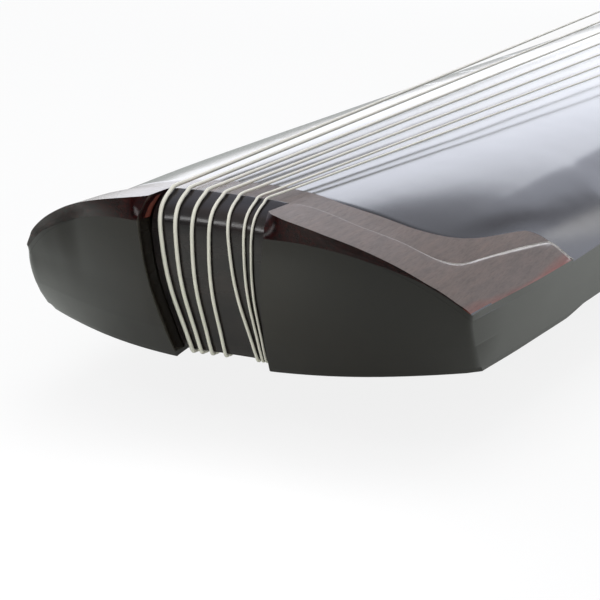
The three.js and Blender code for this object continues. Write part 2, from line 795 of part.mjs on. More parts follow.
for (const [name, side] of [['far', 1], ['near', -1]]) {
  const low = [footU - footBlockHalf, side * footSpread - footBlockHalf, seam];
  const high = [footU + footBlockHalf, side * footSpread + footBlockHalf, seam + footBlockHeight];
  const bore = post(footU, side * footSpread, tenonRadius + fit, seam - overrun,
    supportThickness + tenonLength + fit, 20);
  add(`foot_block_${name}`, cut(slab(low, high), [bore]), bareWood);
}

// Goose feet: a tenon into the board, a neck for the strings and a shoe

function gooseFoot() {
  const sole = -(supportThickness + tableClearance);
  const points = [
    [0, sole], [footSoleRadius, sole], [footShoeRadius, sole + footFlare],
    [footShoeRadius, sole + footShoeHeight - footFlare], [footNeckRadius, sole + footShoeHeight],
    [footNeckRadius, -footCollar - fit], [footCollarRadius, -footCollar], [footCollarRadius, 0],
    [tenonRadius, 0], [tenonRadius, tenonLength], [0, tenonLength],
  ].map(([r, h]) => new THREE.Vector2(r, h));
  return new THREE.LatheGeometry(points, 24).rotateX(Math.PI / 2);
}

for (const [name, side] of [['far', 1], ['near', -1]]) {
  const foot = add(`goose_foot_${name}`, gooseFoot(), rosewood);
  foot.position.copy(place(footU, side * footSpread, supportThickness));
}

// Strings

// Points of the gum's front, moved out by a distance square to it
function besideGum(distance) {
  return gumFront.map(([u, h], i) => {
    const [u0, h0] = gumFront[Math.max(i - 1, 0)];
    const [u1, h1] = gumFront[Math.min(i + 1, gumFront.length - 1)];
    const length = Math.hypot(u1 - u0, h1 - h0);
    return [u + (h1 - h0) / length * distance, h - (u1 - u0) / length * distance];
  });
}

// Heights at which each string reaches its foot, one below the other
function windingStarts() {
  const starts = [];
  let level = supportThickness - footCollar - fit;
  for (const i of stringNumbers) {
    if (i === farStrings) level = supportThickness - footCollar - fit;
    const pitch = 2 * stringRadii[i] + turnGap;
    level -= stringRadii[i] + fit;
    starts.push(level);
    level -= turnsPerString * pitch + stringRadii[i];
  }
  return starts;
}

const starts = windingStarts();

function stringPoints(i) {
  const radius = stringRadii[i];
  const off = radius + fit;
  const side = i < farStrings ? 1 : -1;
  const topY = gumSpread * gumTopShares[i];
  const toeY = toeSpread * gumToeShares[i] - toeShift;
  const sag = archHeight(0, 0) - archHeight(0, topY / tailHalf);
  const overBridge = bridgeTop(bridgeY(i)) + off;
  const points = [
    place(stringLength + bridgeWidth, bridgeY(i), overBridge),
    place(stringLength + bridgeRound, bridgeY(i), overBridge),
  ];
  const slopeStart = besideGum(off);
  for (const [u, h] of slopeStart) {
    const share = THREE.MathUtils.clamp((h - supportThickness) / (gumTop - supportThickness), 0, 1);
    const drop = h > gumStep ? sag : 0;
    points.push(place(u, mix(toeY, topY, share), h - drop));
  }
  const under = supportThickness - off;
  points.push(place(gumToe + bend, toeY, under + bend / 4));
  points.push(place(gumToe + 2 * bend, toeY, under));
  const footY = side * (footSpread - footNeckRadius);
  points.push(place(gumBack + gumSupportLength, mix(toeY, footY, underSpreadShare), under));
  const ring = footNeckRadius + off;
  const pitch = 2 * radius + turnGap;
  const steps = turnsPerString * stepsPerTurn;
  for (let step = 0; step <= steps; step += 1) {
    const angle = 2 * Math.PI * step / stepsPerTurn;
    points.push(place(footU + ring * Math.sin(angle),
      side * (footSpread - ring * Math.cos(angle)), starts[i] - pitch * step / stepsPerTurn));
  }
  return points;
}

// Least distance between turns of one string, less its thickness
function leastGap(points, radius) {
  const wound = points.slice(-turnsPerString * stepsPerTurn - 1);
  let least = Infinity;
  wound.forEach((p, n) => {
    wound.slice(n + stepsPerTurn / 2).forEach((q) => {
      least = Math.min(least, p.distanceTo(q) - 2 * radius);
    });
  });
  return least;
}

for (const i of stringNumbers) {
  const points = stringPoints(i);
  const radii = points.map(() => stringRadii[i]);
  const tail = points[0].clone();
  const knot = [knotLength, knotLength - knotRadius / 2, knotRadius / 2, 0].map((reach) =>
    tail.clone().add(new THREE.Vector3(reach + bend / 2, 0, 0)));
  const knotRadii = [knotRadius / 2, knotRadius, knotRadius, stringRadii[i]];
  const least = leastGap(points, stringRadii[i]).toFixed(2);
  console.log(`string_${i + 1}: least gap between its turns ${least} mm`);
  add(`string_${i + 1}`, tube([...knot, ...points], [...knotRadii, ...radii], stringSides), windingCream);
}

// Tuning cords: from the string's knot through the dew collector into the peg

for (const i of stringNumbers) {
  const y = bridgeY(i);
  const knotEnd = stringLength + bridgeWidth + knotLength + bend / 2;
  const knotHeight = bridgeTop(y) + stringRadii[i] + fit;
  const dewTop = boardTop(pegU, y / halfWidth(pegU, 1)) + fit + dewThickness;
  const points = [
    place(knotEnd + fit, y, knotHeight),
    place(knotEnd + fit + cordRadius, y, knotHeight),
    ...cordSlopeShares.map(([along, down]) =>
      place(mix(knotEnd, pegU, along), y, mix(knotHeight, dewTop, down))),
    place(pegU, y, dewTop + bend),
    place(pegU, y, dewTop - dewThickness),
    place(pegU, y, pegTop - cordInPeg),
  ];
  add(`tuning_cord_${i + 1}`, tube(points, points.map(() => cordRadius), 8), cordSilk);
}

// Mother-of-pearl studs

studs.forEach((stud, i) => {
  add(`hui_${i + 1}`, studGeometry(stud, stud.radius, -studThickness, 0), shell);
});

export default guqin;
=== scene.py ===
"""A guqin: black lacquer, rosewood and cream wound strings, seen from its tail."""

import math

import bmesh
import bpy
import numpy as np
from mathutils import Matrix, Vector


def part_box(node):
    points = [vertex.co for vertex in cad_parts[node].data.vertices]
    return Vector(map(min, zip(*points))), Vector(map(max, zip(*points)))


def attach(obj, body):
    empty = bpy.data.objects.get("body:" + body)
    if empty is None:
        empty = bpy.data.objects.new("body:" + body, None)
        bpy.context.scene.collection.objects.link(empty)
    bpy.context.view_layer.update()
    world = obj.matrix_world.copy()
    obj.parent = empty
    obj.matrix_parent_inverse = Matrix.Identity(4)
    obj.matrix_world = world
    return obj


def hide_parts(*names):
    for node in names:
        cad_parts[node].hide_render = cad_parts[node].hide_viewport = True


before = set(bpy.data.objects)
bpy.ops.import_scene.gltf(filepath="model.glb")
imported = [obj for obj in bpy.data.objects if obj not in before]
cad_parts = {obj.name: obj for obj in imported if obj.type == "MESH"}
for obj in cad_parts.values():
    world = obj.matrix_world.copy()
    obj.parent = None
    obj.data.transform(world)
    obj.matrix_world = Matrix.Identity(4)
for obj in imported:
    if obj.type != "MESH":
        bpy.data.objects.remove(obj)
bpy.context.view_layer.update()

MM = 0.001

# Plan and height of the body, in millimetres: u runs from the gum line to the head,
# h upwards from the underside of the tail supports
STRING_LENGTH = 1112
HEAD_LENGTH = 88
HEAD_END = STRING_LENGTH + HEAD_LENGTH
HEAD_CORNER = 6
CLEARANCE = 28
GUM_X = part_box("top_board")[1].x - HEAD_END * MM
FIT = 0.3
OUTLINE = [
    (0.0135, 74.6), (0.031, 76), (0.072, 80.2), (0.11, 82.8), (0.16, 85), (0.192, 86.2), (0.203, 81.5),
    (0.30, 82), (0.392, 86.5), (0.405, 91), (0.60, 95.5), (0.80, 100), (0.825, 98.5), (0.86, 86),
    (0.90, 79.5), (0.945, 80), (0.985, 87), (1.03, 89), (1.0791, 88),
]
FAIR_OUTLINE = OUTLINE[:6] + [(0.405, 91)]
FAR_LEAN = 1.4
NEAR_LEAN = -3
FAR_BULGE = 2
LEAN_END = (0.072, 0.192)
TAIL_EDGE = 23.4
CENTRE_HEIGHT = [(0.1, 53.5), (0.4, 54.5), (0.8, 55.5), (1, 53.5), (1.0791, 50)]
EDGE_HEIGHT = [(0.1, TAIL_EDGE), (0.4, 25), (0.9, 27)]
ARCH_POWER = 2.95
RIM_POWER = 12
LACQUER_DROP = 1.1
SUPPORT = 2
SEAM = 11

# The carved tail: edges across the lines along the body, as shares of the half width and millimetres
END_FORWARD = 1
END_SETBACK = 38
END_POWERS = {1: 2, -1: 2.4}
END_ROUND = 1.5
LEAN = (25, 23)
BELLY = (1.9, 1.1)
RECESS = (15.4, 21)
RECESS_SHIFT = 1
INNER = 0.262
CROWN_THICKNESS = (7, 2.5)
INNER_SHIFT = 1.9
BAND_HEIGHT = [(0.262, 6.8), (0.4, 6.2), (0.6, 5), (0.75, 3.3), (0.85, 1.7), (0.95, 0.8), (1, 0.4)]
FAR_LIP = [(0.62, 0), (0.75, 3), (0.85, 4), (0.95, 3.2), (0.98, 1.2), (1, -3)]
LIP_START = 0.3
LIP_EDGE = [
    (0.262, -15.3), (0.283, -18.2), (0.317, -20), (0.35, -21.6), (0.384, -22.1), (0.429, -22.3),
    (0.503, -21.6), (0.571, -19.2), (0.672, -13.8), (0.754, -8), (0.852, 0.2), (0.897, 5.2),
    (0.945, 10.1), (1, 15.4),
]
TONGUE_EDGE = [
    (0, 1.0), (0.256, 1.0), (0.269, 3.7), (0.293, 5.1), (0.326, 5.3), (0.366, 5.4), (0.408, 4.9),
    (0.457, 4.8), (0.499, 4.7), (0.544, 5.5), (0.578, 6.9), (0.625, 9.7), (0.662, 12.6), (0.70, 15.5),
    (0.741, 18.2), (0.766, 20.1), (0.80, 23.3), (0.828, 28.2), (0.849, 34.6), (0.858, 42),
    (0.866, 56), (0.878, 72.7), (0.893, 92.1), (0.906, 105.3), (0.913, 111.4), (0.93, 114.6),
    (0.961, 117.2), (0.987, 119), (1, 121),
]
BAND_EDGE = [
    (0, 30.5), (0.073, 29.8), (0.159, 28.3), (0.238, 27.0), (0.326, 24.9), (0.387, 23.3), (0.457, 23.9),
    (0.52, 26.0), (0.589, 28.9), (0.643, 32.3), (0.683, 36.9), (0.728, 44.1), (0.769, 55.3),
    (0.797, 69.8), (0.818, 87.2), (0.841, 103.6), (0.863, 108.8), (0.878, 111.3), (0.902, 113.8),
    (0.913, 114.7), (0.961, 119), (1, 123.4),
]
BAND_TIP = 0.913

# Gum
GUM_TOP = 53.5
GUM_STEP = 46.2
GUM_TOP_BACK = 1.2
GUM_BACK = 16
GUM_TOE = 9
GUM_BULGE = 11.6
GUM_FRONT = [
    (0, 53.5), (-0.30 * GUM_BULGE, 52.35), (-0.60 * GUM_BULGE, 50.95), (-0.83 * GUM_BULGE, 49.2),
    (-0.955 * GUM_BULGE, 46.9), (-GUM_BULGE, 44.2), (-0.98 * GUM_BULGE, 40.7),
    (-0.89 * GUM_BULGE, 34.8), (-0.74 * GUM_BULGE, 28.9), (-0.49 * GUM_BULGE, 22.5),
    (-0.17 * GUM_BULGE, 16.4), (0.21 * GUM_TOE, 10.45), (0.60 * GUM_TOE, 4.83), (0.86 * GUM_TOE, 2),
]

# Strings
STRING_RADII = [0.65, 0.61, 0.57, 0.53, 0.48, 0.42, 0.39]
GUM_Y = [17.2, 11.87, 6.02, 0.34, -4.64, -10.4, -13.1]
TOE_Y = [11.2, 8.23, 4.72, 0.13, -10.53, -12.09, -13.3]
BRIDGE_Y = [60, 40, 20, 0, -20, -40, -60]
FAR_STRINGS = 4
TURNS = 2
TURN_GAP = 0.5
FOOT_U = 0.292 * STRING_LENGTH
FOOT_Y = 48
FOOT_NECK = 9.5
FOOT_COLLAR = 1.2

# Head
BRIDGE_WIDTH = 12
BRIDGE_HALF = 70
BRIDGE_HEIGHT = 66
BRIDGE_DROP = 2
DEW_WIDTH = 25
DEW_THICKNESS = 4
PEG_U = STRING_LENGTH + BRIDGE_WIDTH + DEW_WIDTH / 2
POOL_HALF = 70
POOL_LENGTH = 31
POOL = (PEG_U - POOL_LENGTH / 2, PEG_U + POOL_LENGTH / 2)
POOL_CEILING = 26
CAVITY = (0.143 * STRING_LENGTH, 0.90 * STRING_LENGTH)

# Camera: the photograph's viewing angle, fitted to the tail's outline in its 600 x 600 pixels
PHOTO_SIZE = 600
FOCAL_PIXELS = 1928
SENSOR = 36
CAMERA_AT = (-532.1, -211.2, 155.2)
CAMERA_YAW = 19.26
CAMERA_PITCH = 13.08
CAMERA_ROLL = 3.84
CLIP_START = 0.01


def make_camera():
    yaw, pitch, roll = (math.radians(a) for a in (CAMERA_YAW, CAMERA_PITCH, CAMERA_ROLL))
    forward = Vector((math.cos(pitch) * math.cos(yaw), math.cos(pitch) * math.sin(yaw), -math.sin(pitch)))
    right = Vector((math.sin(yaw), -math.cos(yaw), 0))
    up = right.cross(forward)
    turned_right = right * math.cos(roll) + up * math.sin(roll)
    turned_up = up * math.cos(roll) - right * math.sin(roll)
    data = bpy.data.cameras.new("camera")
    data.sensor_width = SENSOR
    data.lens = FOCAL_PIXELS / PHOTO_SIZE * SENSOR
    data.clip_start = CLIP_START
    camera = bpy.data.objects.new("camera", data)
    rotation = Matrix((turned_right, turned_up, -forward)).transposed()
    camera.matrix_world = Matrix.Translation(place(*CAMERA_AT)) @ rotation.to_4x4()
    bpy.context.collection.objects.link(camera)
    bpy.context.scene.camera = camera


# Curves that the pieces share

def place(u, y, h):
    """A point of the instrument, from millimetres to the frame."""
    return Vector((GUM_X + u * MM, y * MM, (CLEARANCE + h) * MM))


def mix(a, b, t):
    return a + (b - a) * t


def smooth(x, start, end):
    t = np.clip((x - start) / (end - start), 0, 1)
    return t * t * (3 - 2 * t)


def through(knots, x):
    """Smooth height through knots that rises and falls only where they do."""
    xs, ys = np.array(knots, float).T
    x = np.clip(np.asarray(x, float), xs[0], xs[-1])
    slopes = np.diff(ys) / np.diff(xs)
    product = slopes[:-1] * slopes[1:]
    total = np.where(product > 0, slopes[:-1] + slopes[1:], 1)
    tangents = np.zeros(len(xs))
    tangents[1:-1] = np.where(product > 0, 2 * product / total, 0)
    i = np.clip(np.searchsorted(xs, x, side="right") - 1, 0, len(xs) - 2)
    span = xs[i + 1] - xs[i]
    t = (x - xs[i]) / span
    rise = t * t * (3 - 2 * t)
    pulls = tangents[i] * t * (1 - t) ** 2 * span - tangents[i + 1] * t * t * (1 - t) * span
    return ys[i] + (ys[i + 1] - ys[i]) * rise + pulls


def half_width(u, side, h=TAIL_EDGE):
    """Half width of one side, which leans at the tail below its upper edge."""
    share = np.asarray(u, float) / STRING_LENGTH
    corner = np.maximum(0, np.asarray(u) - (HEAD_END - HEAD_CORNER))
    drop = np.clip(1 - np.asarray(h) / TAIL_EDGE, 0, 1)
    far = FAR_LEAN * drop + FAR_BULGE * 4 * drop * (1 - drop)
    lean = np.where(np.asarray(side) > 0, far, NEAR_LEAN * drop) * (1 - smooth(share, *LEAN_END))
    return through(OUTLINE, share) + lean - corner ** 2 / HEAD_CORNER


def arch(u, v):
    """Height of the crown, which runs on evenly over the waist at the tail but for its very edge."""
    share = np.asarray(u, float) / STRING_LENGTH
    centre = through(CENTRE_HEIGHT, share)
    edge = through(EDGE_HEIGHT, share)
    fair = through(OUTLINE, share) / through(FAIR_OUTLINE, share)
    narrowed = np.where(share < FAIR_OUTLINE[-1][0], fair, 1)
    v = np.minimum(np.abs(v), 1)
    return centre - (centre - edge) * (v * mix(narrowed, 1, v ** RIM_POWER)) ** ARCH_POWER


def board_top(u, v):
    return arch(u, v) - LACQUER_DROP


def across(u, y, side=1):
    """Share of the half width at which a point of the plan lies."""
    return abs(y) / float(half_width(u, side))


def board_at(u, y):
    """Height of the lacquer at a point of the plan."""
    return float(board_top(u, across(u, y)))


def recess_half(h, side):
    """Half width of the recess, narrower towards the bottom, where it lies towards the near side."""
    return mix(RECESS[0] - side * RECESS_SHIFT, RECESS[1], h / arch(0, INNER))


def outward(v):
    return np.maximum(0, (np.abs(v) - INNER) / (1 - INNER))


def lean_share(h, top, power):
    """Share of an end face's lean at height h under a top, which bellies by power."""
    return 1 - (1 - np.clip(h / (top - LACQUER_DROP), 0, 1)) ** power


def end_half(h, side):
    """Half width of the end face at height h."""
    return half_width(END_FORWARD + END_SETBACK - LEAN[1] * lean_share(h, TAIL_EDGE, BELLY[1]), side, h)


def end_face(y, h, side):
    """The end face of the tail, set back towards its outer corners, leaning, with a rounded corner."""
    half = end_half(h, side)
    t = np.abs(y) / half
    out = outward(np.minimum(t, 1))
    lean = mix(LEAN[0], LEAN[1], out)
    power = mix(BELLY[0], BELLY[1], out)
    turn = np.clip((np.abs(y) - half + END_ROUND) / END_ROUND, 0, 1)
    corner = END_ROUND * (1 - np.sqrt(1 - turn ** 2))
    setback = END_SETBACK * t ** np.where(np.asarray(side) > 0, END_POWERS[1], END_POWERS[-1])
    swell = np.where(np.asarray(side) > 0, through(FAR_LIP, t), 0) * smooth(h / arch(0, t), LIP_START, 1)
    return END_FORWARD + setback - lean * lean_share(h, arch(0, t), power) + corner - swell


def lip_edge(v):
    """Front edge of a crown corner's top."""
    return through(LIP_EDGE, np.abs(v)) - np.where(v > 0, through(FAR_LIP, v), 0)


def tongue_edge(v):
    return through(TONGUE_EDGE, np.abs(v))


def band_edge(v):
    return through(BAND_EDGE, np.abs(v))


def crown_thickness(v):
    return mix(CROWN_THICKNESS[0], CROWN_THICKNESS[1], outward(v))


def front_y(v, h, half):
    """Distance from the middle of line v at height h in the front part, where the recess leans."""
    side = np.where(np.asarray(v) < 0, -1, 1)
    recess = recess_half(h, side)
    return np.where(np.abs(v) <= INNER, v / INNER * recess, side * mix(recess, half, outward(v)))


# Mesh builders

CREASE_ANGLE = 40
SOFT_ANGLE = 28
FINE_ANGLE = 24
SOFT_STEPS = 3
PLY_DEPTH = 0.2
CUTTER_SIDES = 32
SQUARE = np.array([(0, 0), (1, 0), (1, 1), (0, 1)])


def new_object(name, vertices, faces, uv=None):
    mesh = bpy.data.meshes.new(name)
    mesh.from_pydata([tuple(v) for v in vertices], [], [tuple(int(i) for i in f) for f in faces])
    if uv is not None:
        layer = mesh.uv_layers.new(name="UVMap")
        layer.data.foreach_set("uv", np.array(uv, np.float32).ravel())
    mesh.update()
    piece = bpy.data.objects.new(name, mesh)
    bpy.context.collection.objects.link(piece)
    return piece


def grid_solid(name, points, keep=None):
    """A closed mesh from a bent grid of corner points in millimetres; keep says which cells are solid."""
    ni, nj, nk = (n - 1 for n in points.shape[:3])
    solid = np.ones((ni, nj, nk), bool) if keep is None else keep
    padded = np.pad(solid, 1)
    ids = np.arange(points[..., 0].size).reshape(points.shape[:3])
    faces = []
    for axis, step in np.ndindex(3, 2):
        other = np.roll(padded, 1 - 2 * step, axis)[1:-1, 1:-1, 1:-1]
        cells = np.argwhere(solid & ~other)
        turn = 1 if (step == 1) != (axis == 1) else -1
        corners = np.insert(SQUARE[:, ::turn], axis, step, 1)
        faces.append(np.stack([ids[tuple((cells + c).T)] for c in corners], 1))
    quads = np.concatenate(faces)
    used, renamed = np.unique(quads, return_inverse=True)
    corners = points.reshape(-1, 3)[used]
    return new_object(name, [place(*c) for c in corners], renamed.reshape(quads.shape))


def local(point):
    """A point of the frame as u, y and h in millimetres."""
    return (point.x - GUM_X) / MM, point.y / MM, point.z / MM - CLEARANCE


def soften(piece, width, share=None, angle=SOFT_ANGLE):
    """Rounds the sharp edges of a piece by width in millimetres, times share(u, y, h) where it is given."""
    mesh = piece.data
    bm = bmesh.new()
    bm.from_mesh(mesh)
    weight = bm.edges.layers.float.new("bevel_weight_edge")
    for face in bm.faces:
        face.smooth = True
    for edge in bm.edges:
        edge.smooth = True
        if not edge.is_manifold or edge.calc_face_angle(0) < math.radians(angle):
            continue
        part = 1 if share is None else share(*local((edge.verts[0].co + edge.verts[1].co) / 2))
        edge[weight] = part
        edge.smooth = part > 0
    bm.to_mesh(mesh)
    bm.free()
    bevel = piece.modifiers.new("soft_edges", "BEVEL")
    bevel.limit_method = "WEIGHT"
    bevel.width = width * MM
    bevel.segments = SOFT_STEPS
    bevel.harden_normals = True


def paint(piece, rule):
    """Gives each face the material whose number rule(u, y, h, normal) returns."""
    for face in piece.data.polygons:
        face.material_index = rule(*local(face.center), face.normal)


def carve(piece, cutters):
    """Takes the cutters out of a piece and removes them."""
    for cutter in cutters:
        modifier = piece.modifiers.new("cut", "BOOLEAN")
        modifier.operation = "DIFFERENCE"
        modifier.solver = "EXACT"
        modifier.object = cutter
    graph = bpy.context.evaluated_depsgraph_get()
    mesh = bpy.data.meshes.new_from_object(piece.evaluated_get(graph))
    piece.modifiers.clear()
    piece.data = mesh
    for cutter in cutters:
        bpy.data.objects.remove(cutter)


def loft(name, rings, uv=None):
    """A closed mesh over rings of points in metres, with a cap at both ends."""
    count = len(rings[0])
    around = [(n, (n + 1) % count) for n in range(count)]
    faces = []
    for low in range(0, (len(rings) - 1) * count, count):
        faces += [(low + n, low + m, low + count + m, low + count + n) for n, m in around]
    faces += [tuple(reversed(range(count))), tuple(range(low + count, low + 2 * count))]
    return new_object(name, [point for ring in rings for point in ring], faces, uv)


def tube(name, points, radii, sides, plies=0, pitch=1.0):
    """A tube along points in metres, round or with twisted plies, with UVs along and round it."""
    points = np.array([tuple(p) for p in points])
    length = np.concatenate(([0], np.cumsum(np.linalg.norm(np.diff(points, axis=0), axis=1))))
    tangents = np.gradient(points, axis=0)
    tangents /= np.linalg.norm(tangents, axis=1)[:, None]
    side = np.array((0.0, 1.0, 0.0))
    angles = np.arange(sides) * 2 * math.pi / sides
    rings = []
    for point, tangent, radius, run in zip(points, tangents, radii, length):
        side = side - tangent * side.dot(tangent)
        side /= np.linalg.norm(side)
        up = np.cross(tangent, side)
        reach = np.full(sides, radius)
        if plies:
            twist = np.cos(plies / 2 * angles - math.pi * run / (pitch * MM))
            reach *= 1 - PLY_DEPTH + PLY_DEPTH * np.abs(twist)
        rings.append(point + np.outer(reach * np.cos(angles), side) + np.outer(reach * np.sin(angles), up))
    uv = []
    for a, b in zip(length[:-1], length[1:]):
        for n in range(sides):
            uv += [(a, n / sides), (a, (n + 1) / sides), (b, (n + 1) / sides), (b, n / sides)]
    uv += [(0, n / sides) for n in range(sides)] * 2
    piece = loft(name, rings, uv)
    piece.data.shade_smooth()
    return piece


def turned(name, profile, centre, sides=64, flute=None):
    """A turned piece round an upright axis: profile is (radius, height) in millimetres from centre."""
    angles = np.arange(sides) * 2 * math.pi / sides
    rings = []
    for radius, height in profile:
        reaches = [radius if flute is None else radius * flute(a, radius, height) for a in angles]
        rings.append([centre + Vector((reach * math.cos(a), reach * math.sin(a), height)) * MM
                      for a, reach in zip(angles, reaches)])
    return loft(name, rings)


def crease(piece):
    """Smooth faces with sharp edges between the steep ones."""
    piece.data.shade_smooth()
    piece.data.set_sharp_from_angle(angle=math.radians(CREASE_ANGLE))


def face_outwards(piece):
    bm = bmesh.new()
    bm.from_mesh(piece.data)
    bmesh.ops.recalc_face_normals(bm, faces=bm.faces)
    bm.to_mesh(piece.data)
    bm.free()


def write_layer(piece, name, values):
    """Stores a share of 0 to 1 at each corner point of a piece for its material."""
    layer = piece.data.attributes.new(name, "FLOAT", "POINT")
    layer.data.foreach_set("value", np.clip(values, 0, 1).astype(np.float32))


def prism(name, rim, low, high):
    """An upright piece between two heights over an outline in u and y."""
    return loft(name, [[place(u, y, h) for u, y in rim] for h in (low, high)])


def block(name, u, y, low, high):
    """A box between two heights over the stretches u and y."""
    return prism(name, [(u[0], y[0]), (u[1], y[0]), (u[1], y[1]), (u[0], y[1])], low, high)


def upright(u, y, radius, low, high):
    """A round cutter between two heights."""
    return turned("cutter", [(radius, low), (radius, high)], place(u, y, 0), CUTTER_SIDES)


def stadium(u, length, half, low, high):
    """An upright cutter with round ends along the body."""
    angles = np.linspace(-math.pi / 2, math.pi / 2, 13)
    straight = length / 2 - half
    rim = [(u + end * (straight + half * math.cos(a)), end * half * math.sin(a))
           for end in (1, -1) for a in angles]
    return prism("cutter", rim, low, high)


def curve_through(points, steps):
    """Points of a smooth curve through the given ones, each stretch cut into steps."""
    points = np.array(points, float)
    ends = np.vstack((2 * points[0] - points[1], points, 2 * points[-1] - points[-2]))
    curve = []
    for n in range(len(points) - 1):
        a, b, c, d = ends[n:n + 4]
        for t in np.arange(steps) / steps:
            curve.append(0.5 * (2 * b + (c - a) * t + (2 * a - 5 * b + 4 * c - d) * t ** 2
                                + (3 * b - a - 3 * c + d) * t ** 3))
    return np.array(curve + [points[-1]])


def dress(piece, slot, materials, *nodes, body="body"):
    """Gives a piece its materials, hides the CAD nodes it stands for and lets it ride; slot is not used."""
    faces = piece.data.polygons
    numbers = np.zeros(len(faces), np.int32)
    faces.foreach_get("material_index", numbers)
    piece.data.materials.clear()
    for material in materials:
        piece.data.materials.append(material)
    faces.foreach_set("material_index", np.minimum(numbers, len(materials) - 1))
    if nodes:
        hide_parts(*nodes)
    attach(piece, body)


# Materials

class Nodes:
    """The nodes of a new material or world, with short calls for them."""

    def __init__(self, owner):
        owner.use_nodes = True
        self.owner = owner
        self.tree = owner.node_tree

    def feed(self, node, inputs):
        """Gives each named input of a node its value, or a link where that is a socket."""
        for key, value in inputs.items():
            if isinstance(value, bpy.types.NodeSocket):
                self.tree.links.new(value, node.inputs[key])
            else:
                node.inputs[key].default_value = value
        return node

    def add(self, kind, inputs=None, **settings):
        node = self.tree.nodes.new(kind)
        for key, value in settings.items():
            setattr(node, key, value)
        return self.feed(node, inputs or {})

    def coordinates(self, scale, kind="Object"):
        """Coordinates stretched by scale along their three axes."""
        source = self.add("ShaderNodeTexCoord").outputs[kind]
        return self.add("ShaderNodeMapping", {"Vector": source, "Scale": scale}).outputs["Vector"]

    def noise(self, stretch, scale, detail, roughness):
        vector = self.coordinates(stretch)
        inputs = {"Vector": vector, "Scale": scale, "Detail": detail, "Roughness": roughness}
        return self.add("ShaderNodeTexNoise", inputs).outputs["Fac"]

    def winding(self, lean, turns):
        """Thread wound close round a tube."""
        inputs = {"Vector": self.coordinates((1, lean, 1), "UV"), "Scale": turns}
        return self.add("ShaderNodeTexWave", inputs, bands_direction="DIAGONAL").outputs["Fac"]

    def ramp(self, factor, *stops):
        node = self.add("ShaderNodeValToRGB", {"Fac": factor})
        elements = node.color_ramp.elements
        elements[0].position, elements[0].color = stops[0][0], (*stops[0][1], 1)
        elements[1].position, elements[1].color = stops[-1][0], (*stops[-1][1], 1)
        for position, color in stops[1:-1]:
            elements.new(position).color = (*color, 1)
        return node.outputs["Color"]

    def scaled(self, factor, low, high, start=0.0, end=1.0, kind="LINEAR"):
        inputs = {"Value": factor, "From Min": start, "From Max": end, "To Min": low, "To Max": high}
        return self.add("ShaderNodeMapRange", inputs, interpolation_type=kind).outputs["Result"]

    def bump(self, height, distance, strength):
        """Relief whose depth distance is in metres."""
        inputs = {"Height": height, "Distance": distance, "Strength": strength}
        return self.add("ShaderNodeBump", inputs).outputs["Normal"]

    def mixed(self, factor, first, second, blend="MIX"):
        inputs = {"Factor": factor, "A": first, "B": second}
        return self.add("ShaderNodeMix", inputs, data_type="RGBA", blend_type=blend).outputs["Result"]

    def math(self, operation, *values, clamp=False):
        node = self.add("ShaderNodeMath", dict(enumerate(values)), operation=operation, use_clamp=clamp)
        return node.outputs["Value"]

    def times(self, first, second):
        return self.math("MULTIPLY", first, second)

    def less(self, value):
        return self.math("SUBTRACT", 1, value)

    def surface(self, **inputs):
        """Feeds the shader of a material, each input by its name with _ for a space."""
        self.feed(self.tree.nodes["Principled BSDF"], {key.replace("_", " "): inputs[key] for key in inputs})
        return self.owner


def new_nodes(name):
    return Nodes(bpy.data.materials.new(name))


HAND_WAVE = 0.6 * MM
PORE_DEPTH = 0.06 * MM
GRAIN_DEPTH = 0.08 * MM
THREAD_DEPTH = 0.04 * MM
TWIST_DEPTH = 0.3 * MM
SAWN_DEPTH = 0.3 * MM


def lacquer_material():
    """Deep black lacquer, polished by hand, so its mirror is slightly uneven."""
    nodes = new_nodes("black_lacquer")
    cloud = nodes.noise((1, 2.4, 2.4), 9, 3, 0.5)
    fine = nodes.noise((60, 300, 300), 4, 3, 0.6)
    hand = nodes.noise((5, 16, 16), 2.2, 2, 0.5)
    return nodes.surface(
        Base_Color=nodes.ramp(cloud, (0.3, (0.009, 0.0072, 0.0055)), (0.75, (0.015, 0.0115, 0.008))),
        Roughness=nodes.scaled(fine, 0.10, 0.145), Normal=nodes.bump(hand, HAND_WAVE, 0.5), IOR=1.5)


